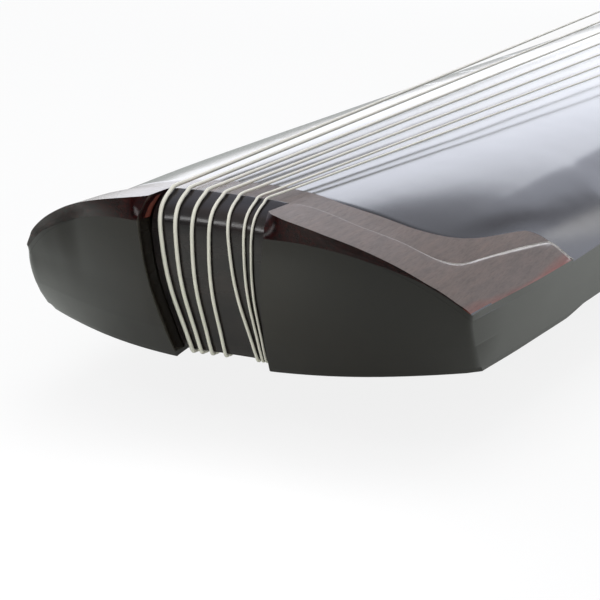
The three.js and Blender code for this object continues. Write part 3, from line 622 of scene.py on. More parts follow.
def rosewood_material(name, roughness, level, dark, mid, red):
    """Close-grained rosewood with fine pores along X, redder at its outer edge, and a painted highlight:
    paler and glossier along the crown's back edge.
    """
    nodes = new_nodes(name)
    streaks = nodes.noise((26, 420, 420), 1.6, 5, 0.6)
    pores = nodes.noise((150, 2300, 2300), 1.5, 3, 0.7)
    tint = nodes.noise((7, 60, 60), 1.2, 3, 0.5)
    outer, painted_highlight, crest = [nodes.add("ShaderNodeAttribute", attribute_name=layer).outputs["Fac"]
                          for layer in ("outer_edge", "painted_highlight_edge", "crest")]
    body = nodes.ramp(streaks, (0.3, dark), (0.5, mid), (0.8, red))
    warm = nodes.ramp(tint, (0.35, (0.95, 0.93, 0.94)), (0.7, (1.07, 1.03, 1.01)))
    lines = nodes.ramp(pores, (0.34, (0.8, 0.79, 0.79)), (0.5, (1, 1, 1)))
    grained = nodes.mixed(1, nodes.mixed(1, body, warm, "MULTIPLY"), lines, "MULTIPLY")
    rim = nodes.scaled(nodes.math("MULTIPLY_ADD", tint, 1.6, outer), 0, 0.85, 1.15, 1.6)
    glow = nodes.ramp(streaks, (0.3, (0.20, 0.05, 0.035)), (0.7, (0.28, 0.085, 0.06)))
    # Pale colour painted along the crown's back edge: a painted highlight standing for the lit rounded arris
    painted_highlight_color = nodes.ramp(pores, (0.3, (0.74, 0.70, 0.67)), (0.6, (0.90, 0.87, 0.85)))
    red_strip_and_highlight = nodes.scaled(painted_highlight, 0, 0.95, 0.1, 0.6)
    rough = nodes.scaled(pores, roughness + 0.06, roughness - 0.04, 0.3, 0.7)
    rough = nodes.times(rough, nodes.scaled(painted_highlight, 1, 0.35, 0, 0.6))
    return nodes.surface(
        Base_Color=nodes.mixed(red_strip_and_highlight, nodes.mixed(rim, grained, glow), painted_highlight_color),
        Roughness=nodes.times(rough, nodes.scaled(crest, 1, 0.5)),
        Normal=nodes.bump(pores, PORE_DEPTH, 0.35), IOR=1.5, Specular_IOR_Level=level)


def hardwood_material():
    """Near-black hardwood, polished, with fine level grain lines."""
    nodes = new_nodes("dark_hardwood")
    grain = nodes.noise((900, 40, 900), 1.3, 4, 0.7)
    cloud = nodes.noise((60, 20, 60), 2, 3, 0.6)
    return nodes.surface(
        Base_Color=nodes.ramp(cloud, (0.3, (0.010, 0.008, 0.009)), (0.7, (0.026, 0.019, 0.018))),
        Roughness=nodes.scaled(grain, 0.16, 0.26), Normal=nodes.bump(grain, GRAIN_DEPTH, 0.4), IOR=1.52)


def string_material():
    """Cream wound string: a fine close thread round a core, a little greener or warmer along it."""
    nodes = new_nodes("string_winding")
    thread = nodes.winding(0.0004, 1571)
    length = nodes.noise((40, 40, 40), 1.5, 2, 0.5)
    return nodes.surface(
        Base_Color=nodes.ramp(length, (0.3, (0.79, 0.77, 0.66)), (0.7, (0.86, 0.82, 0.72))),
        Roughness=nodes.scaled(thread, 0.42, 0.32), Normal=nodes.bump(thread, THREAD_DEPTH, 0.35), IOR=1.5)


def silk_material():
    """Dark red twisted silk."""
    nodes = new_nodes("cord_silk")
    twist = nodes.winding(0.003, 110)
    return nodes.surface(
        Base_Color=nodes.ramp(twist, (0.1, (0.05, 0.004, 0.005)), (0.9, (0.22, 0.018, 0.02))),
        Normal=nodes.bump(twist, TWIST_DEPTH, 0.7), Roughness=0.62, Sheen_Weight=0.35, Sheen_Roughness=0.4)


def shell_material():
    """Mother of pearl: pale, with soft green, blue and rose clouds."""
    nodes = new_nodes("shell")
    cloud = nodes.noise((160, 260, 160), 1.4, 3, 0.6)
    green = (0.3, (0.50, 0.68, 0.62))
    rose = (0.7, (0.74, 0.62, 0.66))
    clouds = nodes.ramp(cloud, green, (0.5, (0.78, 0.80, 0.76)), rose)
    return nodes.surface(Base_Color=clouds, Roughness=nodes.scaled(cloud, 0.12, 0.28), IOR=1.6,
                         Coat_Weight=0.6, Coat_Roughness=0.05)


def bare_material():
    """Pale unfinished wood inside the sound box."""
    nodes = new_nodes("bare_wood")
    grain = nodes.noise((120, 120, 9), 1.5, 5, 0.6)
    return nodes.surface(
        Base_Color=nodes.ramp(grain, (0.3, (0.30, 0.17, 0.075)), (0.7, (0.52, 0.33, 0.17))),
        Normal=nodes.bump(grain, SAWN_DEPTH, 0.4), Roughness=0.7)


LACQUER = lacquer_material()
ROSEWOOD = rosewood_material("rosewood", 0.45, 0.42, (0.126, 0.096, 0.080), (0.160, 0.123, 0.103),
                             (0.197, 0.143, 0.117))
# A polished copy of the rosewood, its colour darkened nearly to black: painted shade for the crown's front
# band and recess walls
POLISHED_SHADED = rosewood_material("polished_rosewood_painted_shade", 0.2, 0.18, (0.004, 0.003, 0.003), (0.016, 0.003, 0.003),
                             (0.042, 0.006, 0.005))
HARDWOOD = hardwood_material()
STRING = string_material()
SILK = silk_material()
SHELL = shell_material()
BARE = bare_material()


# Body

POOL_V = POOL_HALF / float(half_width(PEG_U, 1))
WALL_V = 0.808
INSIDE_V = 0.828
HEAD_SIDE_V = 0.9
SIDE_V = 0.95

# Spacing of the lines across the body up to each share of the half width, in millimetres
SPACINGS = [(POOL_V, 1.5), (0.84, 0.9), (BAND_TIP, 0.5), (BAND_TIP + 0.0008, 1), (0.965, 0.8), (1, 0.4)]
TYPICAL_HALF = 78
TINY = 1e-6


def across_lines():
    """Lines across the body, close together in the carved corners, as shares of the half width."""
    outer = [INNER]
    for v, spacing in sorted(SPACINGS):
        count = max(1, math.ceil((v - outer[-1]) * TYPICAL_HALF / spacing))
        outer += list(np.linspace(outer[-1], v, count + 1)[1:])
    half = np.unique(np.round(np.concatenate((np.linspace(0, INNER, 7), outer)), 6))
    return np.concatenate((-half[:0:-1], half))


ACROSS = across_lines()
CORNERS = ACROSS[np.abs(ACROSS) >= INNER - TINY]
FIXED_SHARES = [0.192, 0.203, 0.392, 0.405, 0.80, 0.825, 0.86, 0.90, 0.945, 0.985, 1.03]
ROW_SPACING = 14


def station_rows():
    """Distances along the body behind the carved tail, with the corners of the outline kept."""
    fixed = [c * STRING_LENGTH for c in FIXED_SHARES] + [CAVITY[1]]
    fixed += [*POOL, HEAD_END - HEAD_CORNER]
    rows = [CAVITY[0]]
    for u in sorted(fixed):
        count = max(1, round((u - rows[-1]) / ROW_SPACING))
        rows += list(np.linspace(rows[-1], u, count + 1)[1:])
    corner = HEAD_CORNER * np.sin(np.linspace(0, math.pi / 2, 6))
    return rows + list(HEAD_END - HEAD_CORNER + corner[1:])


STATIONS = station_rows()
LACQUER_GAP = 0.1
ROLL_DEPTH = 0.55
ROLL_REACH = 3.2
ROLL_MIDDLE = 0.56
ROLL_SPREAD = 0.15
CORE_END = 50
CORE_GAP = 2
CORE_ROWS = 3
TAPER_ROWS = 8
EDGE_STEPS = (0.5, 1.1, 1.8, 2.5, ROLL_REACH, 5)
CAVITY_LEVELS = 4
CAVITY_HEIGHT = 0.72
SKIN = 1
LEVELS = 12
NEAR = 0.4
TOP_BAND = 1.5
FRONT_END = 60
HEAD_ROWS = 7
ROUNDING = 0.8
CORD_BORE = 2.6

# Least part of a face's normal along an axis for it to count as facing along the body, or up or down
FACING_ALONG = 0.7
FACING_LEVEL = 0.6


def seat(v):
    """Height of the rebate that the crown corners and the tail plate lie in."""
    return arch(0, v) - crown_thickness(v)


def rebate_edge(v):
    """Far edge of the rebate: behind the tail plate, and beside its tip behind the crown corner."""
    return np.where(np.abs(v) <= BAND_TIP + TINY, band_edge(v), tongue_edge(v)) + LACQUER_GAP


def board_rows(v):
    """Rows of a board along its lines: None stands for the end face."""
    core = mix(GUM_BACK + FIT, CORE_END, outward(v) ** 2) + CORE_GAP
    edge = rebate_edge(v)
    rows = [None] + [mix(core, edge, t) for t in np.linspace(0, 1, CORE_ROWS + 1)]
    rows += [edge + step for step in EDGE_STEPS]
    rows += [mix(rows[-1], STATIONS[0], t) for t in np.linspace(0, 1, TAPER_ROWS)[1:-1]]
    return rows + [np.full(len(v), u) for u in STATIONS]


def lacquer_roll(u, v):
    """How far the lacquer rolls down where it meets the tail plate, most on the slopes of the arch."""
    near = np.clip(1 - (u - rebate_edge(v)) / ROLL_REACH, 0, 1)
    slope = np.exp(-((np.abs(v) - ROLL_MIDDLE) / ROLL_SPREAD) ** 2) * (np.abs(v) < BAND_TIP)
    return ROLL_DEPTH * slope * near ** 2


def board_corner(i, row, v, h):
    side = np.where(v < 0, -1, 1)
    if row is None:
        y = front_y(v, h, end_half(h, side))
        u = np.where(np.abs(v) < INNER - TINY, GUM_BACK + FIT, end_face(y, h, side))
    else:
        u = row
        half = half_width(u, side, h)
        y = front_y(v, h, half) if i == 1 else v * half
    return np.stack((u, y, np.broadcast_to(h, u.shape)), 1)


def board_share(u, y, h):
    """How far an edge of the boards is rounded: not at the seam, the rebate or inside."""
    v = across(u, y, np.sign(y))
    on_top = abs(h - float(board_top(u, v))) < NEAR and (v > SIDE_V or u > CAVITY[0])
    at_front = u < FRONT_END and SEAM + NEAR < h < float(seat(v)) - TOP_BAND
    head = u > STATIONS[-HEAD_ROWS] and h > SEAM + NEAR and v > HEAD_SIDE_V
    return 1.0 if on_top or at_front or head else 0.0


def inside_rule(u, y, h, normal):
    """Bare wood on the faces of the sound box and the peg pool, lacquer outside."""
    along = CAVITY[0] - NEAR < u < POOL[1] + NEAR
    between = SEAM + NEAR / 2 < h < float(board_top(u, 0)) - CUT_SPARE
    within = across(u, y) < INSIDE_V
    inward = y * normal.y < 0 or abs(normal.x) > FACING_ALONG or normal.z < -FACING_LEVEL
    return 1 if along and between and within and inward else 0


def bore(piece):
    """Takes the bores of the seven cords out of a piece."""
    carve(piece, [upright(PEG_U, y, CORD_BORE, SEAM, BRIDGE_HEIGHT) for y in BRIDGE_Y])


def top_board_points(v, rows):
    points = np.zeros((len(rows), len(v), LEVELS + 1, 3))
    for i, row in enumerate(rows):
        guess = np.zeros(len(v)) if row is None else row
        top = board_top(guess, v) - lacquer_roll(guess, v)
        floor = np.minimum(seat(v), top - SKIN)
        ceiling = np.where(guess > CAVITY[1] + NEAR, POOL_CEILING, mix(SEAM, top, CAVITY_HEIGHT))
        for k in range(LEVELS + 1):
            h = top
            if k < CAVITY_LEVELS + 1:
                h = mix(SEAM, ceiling, k / CAVITY_LEVELS)
            elif k < LEVELS:
                h = mix(ceiling, floor, (k - CAVITY_LEVELS) / (LEVELS - 1 - CAVITY_LEVELS))
            if i <= CORE_ROWS + 1 and k < LEVELS:
                h = mix(SEAM, floor, k / (LEVELS - 1))
            points[i, :, k] = board_corner(i, row, v, h)
    return points


def make_top_board():
    v = ACROSS
    rows = board_rows(v)
    keep = np.ones((len(rows) - 1, len(v) - 1, LEVELS), bool)
    middle = np.abs(v[1:] + v[:-1]) / 2
    keep[:CORE_ROWS + 1, :, LEVELS - 1] = False
    keep[0][middle < INNER] = False
    centres = np.array([0 if r is None else float(np.mean(r)) for r in rows])
    mid_u = (centres[1:] + centres[:-1]) / 2
    hollow = (mid_u > CAVITY[0]) & (mid_u < CAVITY[1])
    pool = (mid_u > POOL[0]) & (mid_u < POOL[1])
    for part, half in ((hollow, WALL_V), (pool, POOL_V)):
        keep[np.ix_(part, middle < half, np.arange(LEVELS) < CAVITY_LEVELS)] = False
    board = grid_solid("top_board_lacquered", top_board_points(v, rows), keep)
    bore(board)
    paint(board, inside_rule)
    soften(board, ROUNDING, board_share)
    dress(board, "black_lacquer", [LACQUER, BARE], "top_board")


SOUND_HOLES = ((0.585, 210), (0.19, 105))
SOUND_HOLE_HALF = 14
SLOT_HALF = 13.8
SLOT_LENGTH = 24
SLOT_TOP = 7.3
FOOT_SOCKET = 7.8
CUT_SPARE = 5
SUPPORT_END = 150
HEAD_REACH = 8


def bottom_share(u, y, h):
    """How far an edge of the bottom board is rounded: not at the seam or over the tail supports."""
    if h > SEAM - NEAR:
        return 0.0
    if h < SUPPORT + NEAR:
        return 1.0 if u > SUPPORT_END else 0.0
    return 1.0 if u < FRONT_END or u > HEAD_END - HEAD_REACH else 0.0


def make_bottom_board():
    v = np.unique(np.concatenate((ACROSS[::2], [-INNER, INNER])))
    rows = board_rows(v)
    heights = (SUPPORT, mix(SUPPORT, SEAM, 0.5), SEAM)
    points = np.stack([np.stack([board_corner(i, row, v, np.full(len(v), h)) for h in heights], 1)
                       for i, row in enumerate(rows)])
    keep = np.ones((len(rows) - 1, len(v) - 1, 2), bool)
    keep[0][np.abs(v[1:] + v[:-1]) / 2 < INNER] = False
    board = grid_solid("bottom_board_lacquered", points, keep)
    low = SUPPORT - CUT_SPARE
    high = SEAM + CUT_SPARE
    cutters = [stadium(share * STRING_LENGTH, length, SOUND_HOLE_HALF, low, high)
               for share, length in SOUND_HOLES]
    cutters.append(block("cutter", POOL, (-POOL_HALF, POOL_HALF), low, high))
    cutters.append(block("cutter", (0, GUM_BACK + SLOT_LENGTH + FIT), (-SLOT_HALF - FIT, SLOT_HALF + FIT),
                         low, SLOT_TOP))
    cutters += [upright(FOOT_U, side * FOOT_Y, FOOT_SOCKET, low, high) for side in (-1, 1)]
    carve(board, cutters)
    paint(board, lambda u, y, h, normal: 1 if normal.z > FACING_LEVEL else 0)
    soften(board, ROUNDING, bottom_share)
    dress(board, "black_lacquer", [LACQUER, BARE], "bottom_board")


# Carved tail

CROWN_STEPS = 12
CROWN_LEVELS = 6
SEAT_GAP = 0.05
BACK_ROWS = [3, 2.4, 1.8, 1.3, 0.85, 0.45, 0.15, 0]
EDGE_REACH = 1.3
EDGE_STRETCH = (0.45, 1)
EDGE_SAMPLES = 500
EDGE_DROP = 0.95
EDGE_POWER = 2.2
LIP_FLARE = 1.25
RIM_REACH = 4
# Reach of the painted highlight behind the crown's back edge
HIGHLIGHT_REACH = 1.1
CREST = (-8, 14)
BARE_STRIP = 2.2
BARE_GAIN = 1.6
SIDE_GAP = 0.12
INNER_ZONE = (20, 22)
TOP_NEAR = 0.5
ABOVE_SEAT = 0.6
PLATE_ABOVE_SEAT = 0.7
PLATE_LEVELS = 3
PLATE_STEPS = 9
PLATE_ROUNDING = 0.25


def line_at(u, y, h, side):
    """The line along the body that a point of the front part lies on."""
    recess = recess_half(h, side)
    return INNER + (1 - INNER) * (abs(y) - recess) / (end_half(h, side) - recess)


def edge_distance(side, places):
    """Distances in plan from the back edge of a crown corner's top, shortened along the body."""
    v = side * np.linspace(INNER, 1, EDGE_SAMPLES)
    edge = np.stack((tongue_edge(v), v * half_width(tongue_edge(v), side)), 1)
    return np.linalg.norm((places[:, None] - edge) * EDGE_STRETCH, axis=2).min(1)


def crown_points(v, side):
    """Corner points of a crown corner, its top rolled down along its back edge."""
    rows = list(np.linspace(0, 1, CROWN_STEPS)) + BACK_ROWS[1:]
    back = tongue_edge(v)
    points = np.zeros((len(rows), len(v), CROWN_LEVELS + 1, 3))
    for k in range(CROWN_LEVELS + 1):
        rise = max(0, (k - 1) / (CROWN_LEVELS - 1))
        depth = through(BAND_HEIGHT, np.abs(v)) * (1 - rise) if k else crown_thickness(v) - SEAT_GAP
        level = arch(0, v) - depth
        start = front_y(v, level, end_half(level, side)) - side * INNER_SHIFT * rise * (1 - outward(v)) ** 6
        front = mix(end_face(start, level, side), lip_edge(v), rise ** LIP_FLARE)
        for i, value in enumerate(rows):
            u = mix(front, back - BACK_ROWS[0], value) if i < CROWN_STEPS else back - value
            y = mix(start, v * half_width(back, side), (u - front) / (back - front))
            y = np.where(np.abs(v) > 1 - TINY, v * half_width(u, side, level), y)
            near = np.clip(1 - edge_distance(side, np.stack((u, y), 1)) / EDGE_REACH, 0, 1)
            drop = EDGE_DROP * near ** EDGE_POWER if k == CROWN_LEVELS else 0
            points[i, :, k] = np.stack((u, y, level - drop), 1)
    return points


def crown_rule(side):
    """Lacquer on the end face and the side, satin rosewood on the top, and a polished near-black copy of the
    rosewood on the band and the inside, whose darkness is painted shade.
    """
    def rule(u, y, h, normal):
        v = float(line_at(u, y, h, side))
        below = h < float(arch(0, v) - through(BAND_HEIGHT, v)) and v > INNER
        if abs(y) > float(half_width(u, side, h)) - SIDE_GAP or (normal.z < 0.5 and below):
            return 2
        # Faces turned up get the lit rosewood, the band and inner walls the darker copy as painted shade
        return 0 if normal.z > 0.5 and h > float(arch(0, across(u, y, side))) - TOP_BAND else 1

    return rule


def crown_share(side):
    """How far an edge of a crown corner is rounded: most beside the gum, less along its top."""
    def share(u, y, h):
        v = across(u, y, side)
        if abs(h - float(arch(0, v))) < TOP_NEAR:
            return 0.5
        inner = abs(y) < INNER_ZONE[1] and u < INNER_ZONE[0]
        return 1.0 if inner and h > float(seat(v)) + ABOVE_SEAT else 0.0

    return share


def crown_layers(corner, side):
    """Where a crown corner is red, where its back edge carries the painted highlight, and where it is
    glossy.
    """
    u, y, h = np.array([local(vertex.co) for vertex in corner.data.vertices]).T
    outer = 1 - (half_width(u, side) - np.abs(y)) / RIM_REACH
    gum_u, gum_h = np.array(GUM_FRONT[::-1]).T
    red_strip_and_highlight = BARE_GAIN - np.abs(u - np.interp(h, gum_h, gum_u) + BARE_STRIP) / BARE_STRIP
    inner_wall = (side > 0) & (np.abs(y) < INNER_ZONE[1]) & (h < arch(0, INNER) - NEAR / 2)
    write_layer(corner, "outer_edge", np.where(inner_wall, np.maximum(outer, red_strip_and_highlight), outer))
    # Painted highlight: a share that is 1 on the back edge of the top and fades within its reach
    write_layer(corner, "painted_highlight_edge", 1 - edge_distance(side, np.stack((u, y), 1)) / HIGHLIGHT_REACH)
    write_layer(corner, "crest", np.full(len(u), side > 0, float))


def make_crown_corner(name, side):
    corner = grid_solid(name + "_carved", crown_points(CORNERS[CORNERS * side > 0], side))
    paint(corner, crown_rule(side))
    soften(corner, ROUNDING, crown_share(side), FINE_ANGLE)
    crown_layers(corner, side)
    dress(corner, "rosewood", [ROSEWOOD, POLISHED_SHADED, LACQUER], name)


def plate_share(u, y, h):
    return 1.0 if h > float(seat(across(u, y, np.sign(y)))) + PLATE_ABOVE_SEAT else 0.0


def make_tail_plate():
    v = ACROSS[np.abs(ACROSS) <= BAND_TIP + TINY]
    front = np.where(np.abs(v) < INNER - TINY, GUM_TOP_BACK, tongue_edge(v)) + LACQUER_GAP
    points = np.zeros((PLATE_STEPS, len(v), PLATE_LEVELS + 1, 3))
    for k in range(PLATE_LEVELS + 1):
        h = mix(seat(v), board_top(0, v), k / PLATE_LEVELS)
        for i, t in enumerate(np.linspace(0, 1, PLATE_STEPS)):
            u = mix(front, band_edge(v), t)
            points[i, :, k] = np.stack((u, v * half_width(u, np.sign(v)), h), 1)
    plate = grid_solid("tail_plate_fitted", points)
    across_body = np.array([vertex.co.y / MM for vertex in plate.data.vertices])
    write_layer(plate, "crest", smooth(across_body, *CREST))
    soften(plate, PLATE_ROUNDING, plate_share, FINE_ANGLE)
    dress(plate, "rosewood", [ROSEWOOD], "tail_plate")


GUM_HALF = 19.2
GUM_ROUNDING = 0.35
GUM_SOFT = (-1, 3)
GUM_ANGLE = 35


def gum_outline(sag):
    """Outline of the gum in u and h, from the back of its top round the front to the step behind."""
    front = [(u, h - sag if h > GUM_STEP else h) for u, h in GUM_FRONT]
    smooth_front = curve_through([(GUM_TOP_BACK, GUM_TOP - sag)] + front, 5)
    back = [(GUM_BACK, SUPPORT), (GUM_BACK, GUM_STEP - sag), (GUM_TOP_BACK, GUM_STEP - sag)]
    return np.vstack((smooth_front, back))


def make_gum():
    rings = []
    for w in np.linspace(-1, 1, 25):
        outline = gum_outline(float(arch(0, 0) - arch(0, w * INNER)))
        half = np.minimum(recess_half(outline[:, 1], np.sign(w)) - FIT, GUM_HALF)
        rings.append([place(u, w * half[n], h) for n, (u, h) in enumerate(outline)])
    gum = loft("dragon_gum_polished", rings)
    face_outwards(gum)
    front = lambda u, y, h: 1.0 if h > GUM_SOFT[1] and u < GUM_SOFT[0] else 0.0
    soften(gum, GUM_ROUNDING, front, GUM_ANGLE)
    dress(gum, "dark_hardwood", [HARDWOOD], "dragon_gum")


# Tail supports: their length at the bottom and the top, the groove between them and the lean of their sides
SUPPORT_REACH = (125, 152)
GROOVE_HALF = 26
SUPPORT_LEAN = 0.1
SUPPORT_LEVELS = (0, SUPPORT / 2, SUPPORT)
THIN_ROUNDING = 0.5


def make_tail_support(name, side):
    order = np.linspace(0, 1, 17)[::side]
    rows = np.linspace(0, 1, 13) ** 1.4
    points = np.zeros((len(rows), len(order), len(SUPPORT_LEVELS), 3))
    for k, h in enumerate(SUPPORT_LEVELS):
        inner = float(recess_half(h, side))
        start = end_face(mix(inner, float(end_half(h, side)), order), h, side)
        for i, row in enumerate(rows):
            u = mix(start, mix(*SUPPORT_REACH, h / SUPPORT), row)
            groove = mix(inner, GROOVE_HALF, np.clip(u / SUPPORT_REACH[0], 0, 1)) if i else inner
            y = mix(groove, half_width(u, side, h) - SUPPORT_LEAN * h, order)
            points[i, :, k] = np.stack((u, side * y, np.full(len(order), float(h))), 1)
    support = grid_solid(name + "_fitted", points)
    soften(support, THIN_ROUNDING, lambda u, y, h: 1.0 if h < NEAR else 0.0)
    dress(support, "dark_hardwood", [LACQUER], name)


# Head

NOSE = 2.5
DEW_NOSE = 2
QUARTER = np.linspace(0, math.pi / 2, 7)
BAR_STEPS = 72
PLATE_THICKNESS = 3
GUARD_HALF = 23
GUARD_FOOT = 17
GUARD_SWELL = 0.55
GUARD_THICKNESS = 9
GUARD_CUSHION = 0.02
GUARD_ROUNDING = 1.2
SMALL_ROUNDING = 0.3


def arched_bar(name, start, end, profile):
    """A bar across the board, the same from both sides: profile gives (share along u, height) pairs."""
    profile = profile + [(1 - share, rise) for share, rise in reversed(profile)]
    points = np.zeros((len(profile), BAR_STEPS + 1, 2, 3))
    for i, (share, rise) in enumerate(profile):
        u = mix(start, end, share)
        for j, y in enumerate(np.linspace(-BRIDGE_HALF, BRIDGE_HALF, BAR_STEPS + 1)):
            points[i, j] = [(u, y, board_at(u, y) + FIT), (u, y, rise(u, y))]
    return grid_solid(name, points)


def bridge_top(y):
    return BRIDGE_HEIGHT - BRIDGE_DROP * (y / BRIDGE_HALF) ** 2


def make_bridge():
    profile = [(NOSE * (1 - math.cos(a)) / BRIDGE_WIDTH,
                lambda u, y, drop=NOSE * (1 - math.sin(a)): bridge_top(y) - drop) for a in QUARTER]
    bar = arched_bar("bridge_rounded", STRING_LENGTH, STRING_LENGTH + BRIDGE_WIDTH, profile)
    soften(bar, ROUNDING, lambda u, y, h: 1.0 if abs(y) > BRIDGE_HALF - NEAR else 0.0)
    dress(bar, "rosewood", [ROSEWOOD], "bridge")


def make_dew_collector():
    start = STRING_LENGTH + BRIDGE_WIDTH
    profile = [(DEW_NOSE * (1 - math.cos(a)) / DEW_WIDTH,
                lambda u, y, rise=FIT + DEW_THICKNESS / 2 * (1 + math.sin(a)): board_at(u, y) + rise)
               for a in QUARTER]
    bar = arched_bar("dew_collector_fitted", start + FIT, start + DEW_WIDTH, profile)
    bore(bar)
    middle = DEW_THICKNESS / 2
    upper = lambda u, y, h: 1.0 if h > board_at(u, y) + middle else 0.0
    soften(bar, THIN_ROUNDING, upper, CREASE_ANGLE)
    dress(bar, "rosewood", [ROSEWOOD], "dew_collector")


def make_pool_plate():
    half = POOL_HALF - FIT
    plate = block("peg_pool_plate_fitted", (POOL[0] + FIT, POOL[1] - FIT), (-half, half),
                  POOL_CEILING - PLATE_THICKNESS, POOL_CEILING)
    bore(plate)
    soften(plate, SMALL_ROUNDING, angle=CREASE_ANGLE)
    dress(plate, "rosewood", [ROSEWOOD], "peg_pool_plate")


def guard_rim():
    """Outline of a peg guard from its root to its foot and back, in u from the pegs and h from the root."""
    drop = SUPPORT + CLEARANCE
    rim = []
    for t in np.linspace(0, 1, 25):
        u = -mix(GUARD_HALF, GUARD_FOOT, t * t)
        rim.append((u, -drop * (2 * t * (1 - t) * GUARD_SWELL + t * t)))
    return rim + [(-u, h) for u, h in reversed(rim)]


def make_guard(name, side):
    start = POOL_HALF + FIT
    rings = []
    for t in np.linspace(-1, 1, 7):
        y = side * (start + GUARD_THICKNESS * (1 + t) / 2)
        narrowed = 1 - GUARD_CUSHION * abs(t) ** 3
        rings.append([place(PEG_U + u * narrowed, y, SUPPORT + h) for u, h in guard_rim()])
    guard = loft(name + "_carved", rings)
    face_outwards(guard)
    soften(guard, GUARD_ROUNDING, lambda u, y, h: 0.0 if h > SUPPORT - NEAR else 1.0, angle=CREASE_ANGLE)
    dress(guard, "rosewood", [ROSEWOOD], name)


# Profiles as (radius, height) in millimetres: a peg's shaft and head, and a foot above its sole
PEG_TOP = POOL_CEILING - PLATE_THICKNESS - FIT
PEG_SHAFT = [(3.2, -42), (5.78, -36.1), (6.8, -25.2), (6.12, -14.7), (4.6, -8), (4.6, -4)]
PEG_HEAD = [(4.9, -3.7), (7.0, -3.2), (7.6, -2.6), (7.6, -0.5), (7.2, -0.1), (6.8, 0), (2.6, 0), (2.0, -0.5),
            (2.0, -16)]
FLUTES = 8
FLUTE_DEPTH = 0.11
FLUTE_START = (8, 14)
FLUTE_END = (38, 41.5)
SHOE = [(12.4, 0), (12.8, 0.3), (13.6, 0.9), (14, 1.8), (14, 3.4), (13.6, 4.3), (12.4, 5), (10.6, 5.35),
        (FOOT_NECK, 5.7)]
COLLAR = [(FOOT_NECK, -FOOT_COLLAR - FIT), (12.1, -FOOT_COLLAR), (12.5, -0.8), (12.5, 0), (7.5, 0),
          (7.5, 17.4), (6.9, 18)]


def flute(angle, radius, height):
    """Share of its radius that a peg keeps between its ridges."""
    if height > -FLUTE_START[0] or radius < CORD_BORE:
        return 1
    depth = FLUTE_DEPTH * float(smooth(-height, *FLUTE_START)) * float(1 - smooth(-height, *FLUTE_END))
    return 1 - depth * (0.5 + 0.5 * math.cos(FLUTES * angle)) ** 2


def make_peg(number, y):
    widest = max(radius for radius, _ in PEG_SHAFT)
    profile = [(min(radius, widest), height) for radius, height in curve_through(PEG_SHAFT, 8)]
    peg = turned(f"peg_{number}_turned", profile + PEG_HEAD, place(PEG_U, y, PEG_TOP), 72, flute)
    crease(peg)
    dress(peg, "rosewood", [ROSEWOOD], f"tuning_peg_{number}", body=f"peg_{number}")


def make_foot(name, side):
    profile = [(radius, height - SUPPORT - CLEARANCE) for radius, height in SHOE] + COLLAR
    foot = turned(name + "_turned", profile, place(FOOT_U, side * FOOT_Y, SUPPORT))
    crease(foot)
    dress(foot, "rosewood", [ROSEWOOD], name)


# Strings and cords

# A knot's shape as (distance behind the bridge, radius), and the strings' way from the gum to the feet
KNOT = [(4.35, 0.5), (4.2, 1.1), (3.7, 1.5), (2.9, 1.62), (2.0, 1.55), (1.4, 1.2), (0.9, 0.8)]
KNOT_END = 0.3
BRIDGE_LIFT = 2.5
LEAD_SHARES = (0.5, 0.9, 0.99)
TOE_STEP = 1.5
TOE_RISE = 0.375
TOE_TURN = 0.07
TURN_STEPS = 64
STRING_SIDES = 14
CORD_RADIUS = 1.2
CORD_PITCH = 3.2
CORD_LIFT = 1.5
CORD_DEPTH = 10
CORD_SIDES = 16
CORD_PLIES = 2
CORD_SLOPE = ((0.35, 0.2), (0.85, 0.62))


def winding_starts():
    """Height at which each string meets its foot, from the collar down."""
    starts = []
    for i, radius in enumerate(STRING_RADII):
        if i in (0, FAR_STRINGS):
            level = SUPPORT - FOOT_COLLAR - FIT
        level -= radius + FIT
        starts.append(level)
        level -= TURNS * (2 * radius + TURN_GAP) + radius
    return starts


def beside_gum(distance):
    """Points of the gum's front moved out square to it."""
    front = np.array(GUM_FRONT)
    along = np.vstack((front[1] - front[0], front[2:] - front[:-2], front[-1] - front[-2]))
    along /= np.linalg.norm(along, axis=1)[:, None]
    return front + np.stack((along[:, 1], -along[:, 0]), 1) * distance


def string_path(i):
    """Route of a string from the bridge over the gum and under the tail, and round its foot."""
    radius = STRING_RADII[i]
    off = radius + FIT
    side = 1 if i < FAR_STRINGS else -1
    sag = float(arch(0, 0) - arch(0, GUM_Y[i] / OUTLINE[0][1]))
    over = bridge_top(BRIDGE_Y[i]) + off
    straight = [(STRING_LENGTH + u, BRIDGE_Y[i], over) for u in (BRIDGE_WIDTH, BRIDGE_LIFT)]
    front = []
    for u, h in beside_gum(off):
        share = np.clip((h - SUPPORT) / (GUM_TOP - SUPPORT), 0, 1)
        front.append((u, mix(TOE_Y[i], GUM_Y[i], share), h - (sag if h > GUM_STEP else 0)))
    under = SUPPORT - off
    front += [(GUM_TOE + TOE_STEP, TOE_Y[i], under + TOE_RISE), (GUM_TOE + 2 * TOE_STEP, TOE_Y[i], under),
              (GUM_BACK + SLOT_LENGTH, mix(TOE_Y[i], side * (FOOT_Y - FOOT_NECK), TOE_TURN), under)]
    start = np.array(straight[-1])
    lead = [mix(start, np.array(front[0]), t) for t in LEAD_SHARES]
    bent = curve_through(np.vstack((lead[-1:], front)), 6)
    ring = FOOT_NECK + off
    angles = np.linspace(0, 2 * math.pi * TURNS, TURNS * TURN_STEPS + 1)
    levels = winding_starts()[i] - (2 * radius + TURN_GAP) * angles / (2 * math.pi)
    wound = np.stack((FOOT_U + ring * np.sin(angles), side * (FOOT_Y - ring * np.cos(angles)), levels), 1)
    return [place(*p) for p in np.vstack((straight, lead[:-1], bent, wound))]


